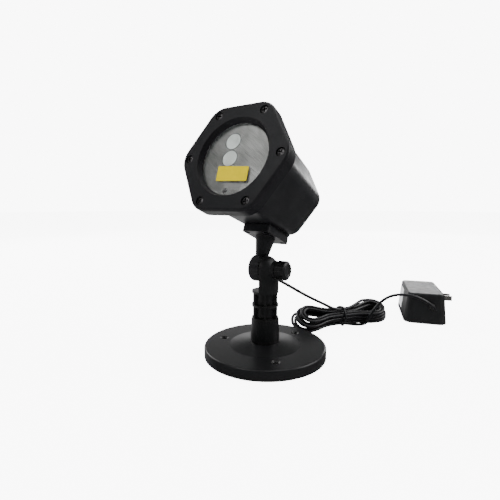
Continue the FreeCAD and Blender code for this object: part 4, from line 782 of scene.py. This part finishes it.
# %% Tree that sets screws
def screw_tree():
    """A tree that sets one screw at every place, along a direction and at a chance turn."""
    inputs = [("Places", "Geometry"), ("Screw", "Object"), ("Direction", "Vector"),
              ("Seed", "Int"), ("Finish", "Material")]
    tree, made, join = new_tree("set_screws", inputs, "Screws")
    given, result = made("NodeGroupInput"), made("NodeGroupOutput")
    pattern = made("GeometryNodeObjectInfo")
    chance = made("FunctionNodeRandomValue")
    chance.inputs["Max"].default_value = math.pi / 2
    twist = made("FunctionNodeAxisAngleToRotation")
    aim = made("FunctionNodeAlignRotationToVector")
    aim.axis = "Z"
    setting = made("GeometryNodeInstanceOnPoints")
    real, coat = made("GeometryNodeRealizeInstances"), made("GeometryNodeSetMaterial")
    join(given.outputs["Screw"], pattern.inputs["Object"])
    join(given.outputs["Seed"], chance.inputs["Seed"])
    join(chance.outputs[1], twist.inputs["Angle"])  # output 1 is a plain number
    join(twist.outputs["Rotation"], aim.inputs["Rotation"])
    join(given.outputs["Direction"], aim.inputs["Vector"])
    join(given.outputs["Places"], setting.inputs["Points"])
    join(pattern.outputs["Geometry"], setting.inputs["Instance"])
    join(aim.outputs["Rotation"], setting.inputs["Rotation"])
    join(setting.outputs["Instances"], real.inputs["Geometry"])
    join(real.outputs["Geometry"], coat.inputs["Geometry"])
    join(given.outputs["Finish"], coat.inputs["Material"])
    join(coat.outputs["Geometry"], result.inputs["Screws"])
    return tree


set_screws = screw_tree()
print("screw tree has", len(set_screws.nodes), "nodes")

# %% [markdown]
# ## The two rows
# The bezel's screws stand in the lamp's frame, one at each corner of the six-sided ring. The
# block's stand in the hinge's frame and point up into the housing.

# %% Rows of screws
HINGE_HEIGHT = 83.03
HINGE = Matrix.Translation((0.0, 0.0, HINGE_HEIGHT * MM)) @ Matrix.Rotation(-TILT, 4, "X")
BEZEL_CIRCLE, BEZEL_TIPS = 44.6, -67.2
BLOCK_MIDDLE, BLOCK_TIPS, BLOCK_HALF_X, BLOCK_HALF_Y = -6.4, 44.8, 10.6, 17.2


def screw_row(name, pattern, seat, places, direction, seed, node):
    """Screws with their tips at places, in a frame of the object, standing for one CAD piece."""
    dots = bpy.data.meshes.new(name + "_places")
    dots.from_pydata([seat @ (Vector(place) * MM) for place in places], [], [])
    row = grow(name, dots, set_screws,
               {"Screw": pattern, "Direction": tuple(seat.to_3x3() @ Vector(direction)),
                "Seed": seed, "Finish": black_screw})
    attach(row, "head")
    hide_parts(node)
    print(name, len(places), "screws", len(row.data.polygons), "faces")


corner_angles = [math.radians(60 * k) for k in range(6)]
bezel_places = [(BEZEL_CIRCLE * math.cos(a), BEZEL_TIPS, BEZEL_CIRCLE * math.sin(a))
                for a in corner_angles]
block_places = [(BLOCK_MIDDLE + x, y, BLOCK_TIPS) for x in (-BLOCK_HALF_X, BLOCK_HALF_X)
                for y in (-BLOCK_HALF_Y, BLOCK_HALF_Y)]
screw_row("bezel_cross_screws", bezel_screw, LAMP, bezel_places,
          direction=(0, -1, 0), seed=4, node="bezel_screws")
screw_row("block_cross_screws", block_screw, HINGE, block_places,
          direction=(0, 0, -1), seed=9, node="bracket_screws")
for pattern in (bezel_screw, block_screw):
    bpy.data.objects.remove(pattern)

# %% [markdown]
# ## Two blank stickers
# A yellow sticker sits low on the window and a pale one on the adapter's side. Both are left
# blank. A sticker is a thin sheet with rounded corners: its outline is drawn flat, given a tenth
# of a millimetre of thickness and laid on the surface that carries it.

# %% Stickers
FILM = 0.12
CORNER_STEPS = 4


def sticker(name, seat, corners, rounding, coat):
    """A thin sheet in a frame's XZ plane, facing its -Y, with rounded corners, in millimetres."""
    outline = []
    for before, here, after in zip(corners[-1:] + corners[:-1], corners,
                                   corners[1:] + corners[:1]):
        here = Vector(here)
        a = (Vector(before) - here).normalized() * rounding
        b = (Vector(after) - here).normalized() * rounding
        for t in (k / CORNER_STEPS for k in range(CORNER_STEPS + 1)):
            outline.append(here + a * (1 - t) ** 2 + b * t ** 2)
    work = bmesh.new()
    front = work.faces.new([work.verts.new((p.x, -FILM, p.y)) for p in outline])
    back = bmesh.ops.extrude_face_region(work, geom=[front])
    behind = [v for v in back["geom"] if isinstance(v, bmesh.types.BMVert)]
    bmesh.ops.translate(work, verts=behind, vec=(0, FILM, 0))
    bmesh.ops.recalc_face_normals(work, faces=work.faces)
    work.transform(seat @ Matrix.Scale(MM, 4))
    mesh = bpy.data.meshes.new(name)
    work.to_mesh(mesh)
    work.free()
    mesh.materials.append(coat)
    return show(name, mesh)


def printed(name, dark, light):
    """Printed film with a soft sheen."""
    return surface(name, tones=(260.0, 4.0, dark, light), sheen=(500.0, 3.0, 0.4, 0.55),
                   grain=(4500.0, 2.0, 0.2, 0.00002), Specular_IOR_Level=0.1)


yellow_film = printed("yellow_film", dark=(0.68, 0.53, 0.0), light=(0.75, 0.59, 0.0))
pale_film = printed("pale_film", dark=(0.70, 0.71, 0.72), light=(0.80, 0.80, 0.80))
print("sticker films ready")

# %% [markdown]
# ## Where the stickers lie
# Each sticker is drawn in the frame of the face that carries it: the front of the glass, and the
# side of the adapter's case, which leans in a little because a moulded case is drafted.

# %% The two stickers in place
GLASS_FACE = -73.2
GLASS = LAMP @ Matrix.Translation((0.0, GLASS_FACE * MM, 0.0))
CASE_CORNER, CASE_HEADING = Vector((97.84, 168.05, 0.0)), math.radians(15.28)
DRAFT, SIDEWAYS = math.radians(6), math.radians(-90)
CASE = Matrix.Translation(CASE_CORNER * MM) @ Matrix.Rotation(CASE_HEADING, 4, "Z")
CASE_SIDE = CASE @ Matrix.Rotation(DRAFT, 4, "Y") @ Matrix.Rotation(SIDEWAYS, 4, "Z")
window_sticker = sticker("window_sticker", GLASS, rounding=0.8, coat=yellow_film,
                         corners=[(-14.4, -6.2), (16.1, -7.9), (16.3, -20.4), (-13.9, -19.4)])
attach(window_sticker, "head")
case_label = sticker("case_label", CASE_SIDE, rounding=1.5, coat=pale_film,
                     corners=[(-75.5, 31.2), (-43.8, 31.2), (-43.8, 6.2), (-75.5, 6.2)])
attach(case_label, "base")
print("sticker faces", len(window_sticker.data.polygons), len(case_label.data.polygons))

# %% [markdown]
# ## The light table
# The object stands on a pale light table, the way catalogue pictures are taken: the table glows,
# so it shows white and throws no hard shadow. Black plastic is shown by what it reflects, so in
# reflections the table is much dimmer than to the eye, and it fades from its left side to its
# right.

# %% Table
TABLE_RADIUS, TABLE_SIDES = 6.0, 96
GLOW_AS_LIGHT, GLOW_TO_CAMERA = 1.8, 8.0
FADE_AIM, FADE_OVER = (-0.95, 0.35, 0.0), (0.0, 0.16)
FADED, FULL = 0.10, 1.0  # the table's strength in reflections


def wide_table():
    """A round sheet, far wider than the picture."""
    turns = [2 * math.pi * k / TABLE_SIDES for k in range(TABLE_SIDES)]
    rim = [(TABLE_RADIUS * math.cos(a), TABLE_RADIUS * math.sin(a), 0.0) for a in turns]
    mesh = bpy.data.meshes.new("light_table")
    mesh.from_pydata(rim, [], [tuple(range(TABLE_SIDES))])
    return show("light_table", mesh)


def table_paper():
    """Glowing paper that is brightest to the camera and graded where something reflects it."""
    paper, shader = finish("table_paper", Roughness=0.9, Specular_IOR_Level=0.1,
                           Emission_Color=(1.0, 1.0, 1.0, 1.0))
    tint(paper, shader, field(paper, scale=30.0, detail=4.0),
         [(NOISE_LOW, (0.86, 0.86, 0.865)), (NOISE_HIGH, (0.88, 0.88, 0.88))])
    tree = paper.node_tree
    made, join = tree.nodes.new, tree.links.new
    path_kind, spot = made("ShaderNodeLightPath"), made("ShaderNodeTexCoord")
    glow = span_of(tree, (0.0, 1.0), (GLOW_AS_LIGHT, GLOW_TO_CAMERA))
    leftward = made("ShaderNodeVectorMath")
    leftward.operation = "DOT_PRODUCT"
    leftward.inputs[1].default_value = FADE_AIM
    fall = span_of(tree, FADE_OVER, (FADED, FULL))
    mirrored, either = made("ShaderNodeEmission"), made("ShaderNodeMixShader")
    join(path_kind.outputs["Is Camera Ray"], glow.inputs["Value"])
    join(glow.outputs["Result"], shader.inputs["Emission Strength"])
    join(spot.outputs["Object"], leftward.inputs[0])
    join(leftward.outputs["Value"], fall.inputs["Value"])
    join(fall.outputs["Result"], mirrored.inputs["Strength"])
    join(path_kind.outputs["Is Glossy Ray"], either.inputs["Fac"])
    join(shader.outputs["BSDF"], either.inputs[1])
    join(mirrored.outputs["Emission"], either.inputs[2])
    join(either.outputs["Shader"], tree.nodes["Material Output"].inputs["Surface"])
    return paper


table = wide_table()
table.data.materials.append(table_paper())
print("table", 2 * TABLE_RADIUS, "m across")

# %% [markdown]
# ## Lights
# Six soft lights shape the black. One overhead and a low screen behind give the sheen on upward
# faces, boxes in front and on the left model the face, and a box on the right and a small screen
# behind draw the pale edges.

# %% Soft lights
SOFT_LIGHTS = [  # name, place, aim, width, height, watts
    ("front_box", (-0.38, -0.90, 1.10), (0.0, 0.0, 0.15), 0.5, 0.5, 4.0),
    ("left_box", (-1.2, 0.25, 0.7), (0.0, 0.0, 0.12), 0.7, 0.7, 9.0),
    ("back_right_box", (0.95, 0.55, 0.75), (0.0, 0.0, 0.15), 0.9, 0.7, 14.0),
    ("overhead_box", (0.0, 0.25, 1.7), (0.0, 0.1, 0.0), 1.6, 1.6, 20.0),
    ("low_screen", (-0.75, 1.3, 0.24), (0.0, 0.0, 0.06), 1.5, 0.4, 2.6),
    ("back_screen", (-0.04, 1.6, 0.44), (0.0, 0.0, 0.17), 0.4, 0.3, 3.0),
]
for name, place, aim, wide, tall, power in SOFT_LIGHTS:
    light = bpy.data.lights.new(name, "AREA")
    light.shape, light.size, light.size_y, light.energy = "RECTANGLE", wide, tall, power
    holder = show(name, light)
    holder.location = place
    holder.rotation_euler = (Vector(aim) - Vector(place)).to_track_quat("-Z", "Y").to_euler()
print("soft lights", len(SOFT_LIGHTS))

# %% [markdown]
# ## The room
# A bright room would wash out black plastic, so the room round the object is dim, and brightest
# overhead. Only the camera itself sees it as white, like the table.

# %% Room
ROOM_GREYS = [(0.0, 0.10), (0.25, 0.16), (0.60, 0.12), (1.0, 0.45)]  # from the horizon upwards
ROOM_TO_CAMERA = (9.0, 9.0, 9.0, 1.0)


def room_glow():
    """A dim room, brightest overhead, that the camera itself sees as white."""
    world = bpy.data.worlds.new("studio_air")
    world.use_nodes = True
    tree = world.node_tree
    made, join = tree.nodes.new, tree.links.new
    place, parts = made("ShaderNodeTexCoord"), made("ShaderNodeSeparateXYZ")
    ramp = ramp_of(tree, [(height, (grey, grey, grey)) for height, grey in ROOM_GREYS])
    kind, seen = made("ShaderNodeLightPath"), made("ShaderNodeMix")
    seen.data_type = "RGBA"  # its colours are inputs 6 and 7 and output 2
    seen.inputs[7].default_value = ROOM_TO_CAMERA
    join(place.outputs["Generated"], parts.inputs["Vector"])
    join(parts.outputs["Z"], ramp.inputs["Fac"])
    join(ramp.outputs["Color"], seen.inputs[6])
    join(kind.outputs["Is Camera Ray"], seen.inputs[0])
    join(seen.outputs[2], tree.nodes["Background"].inputs["Color"])
    return world


scene.world = room_glow()
print("room ready")
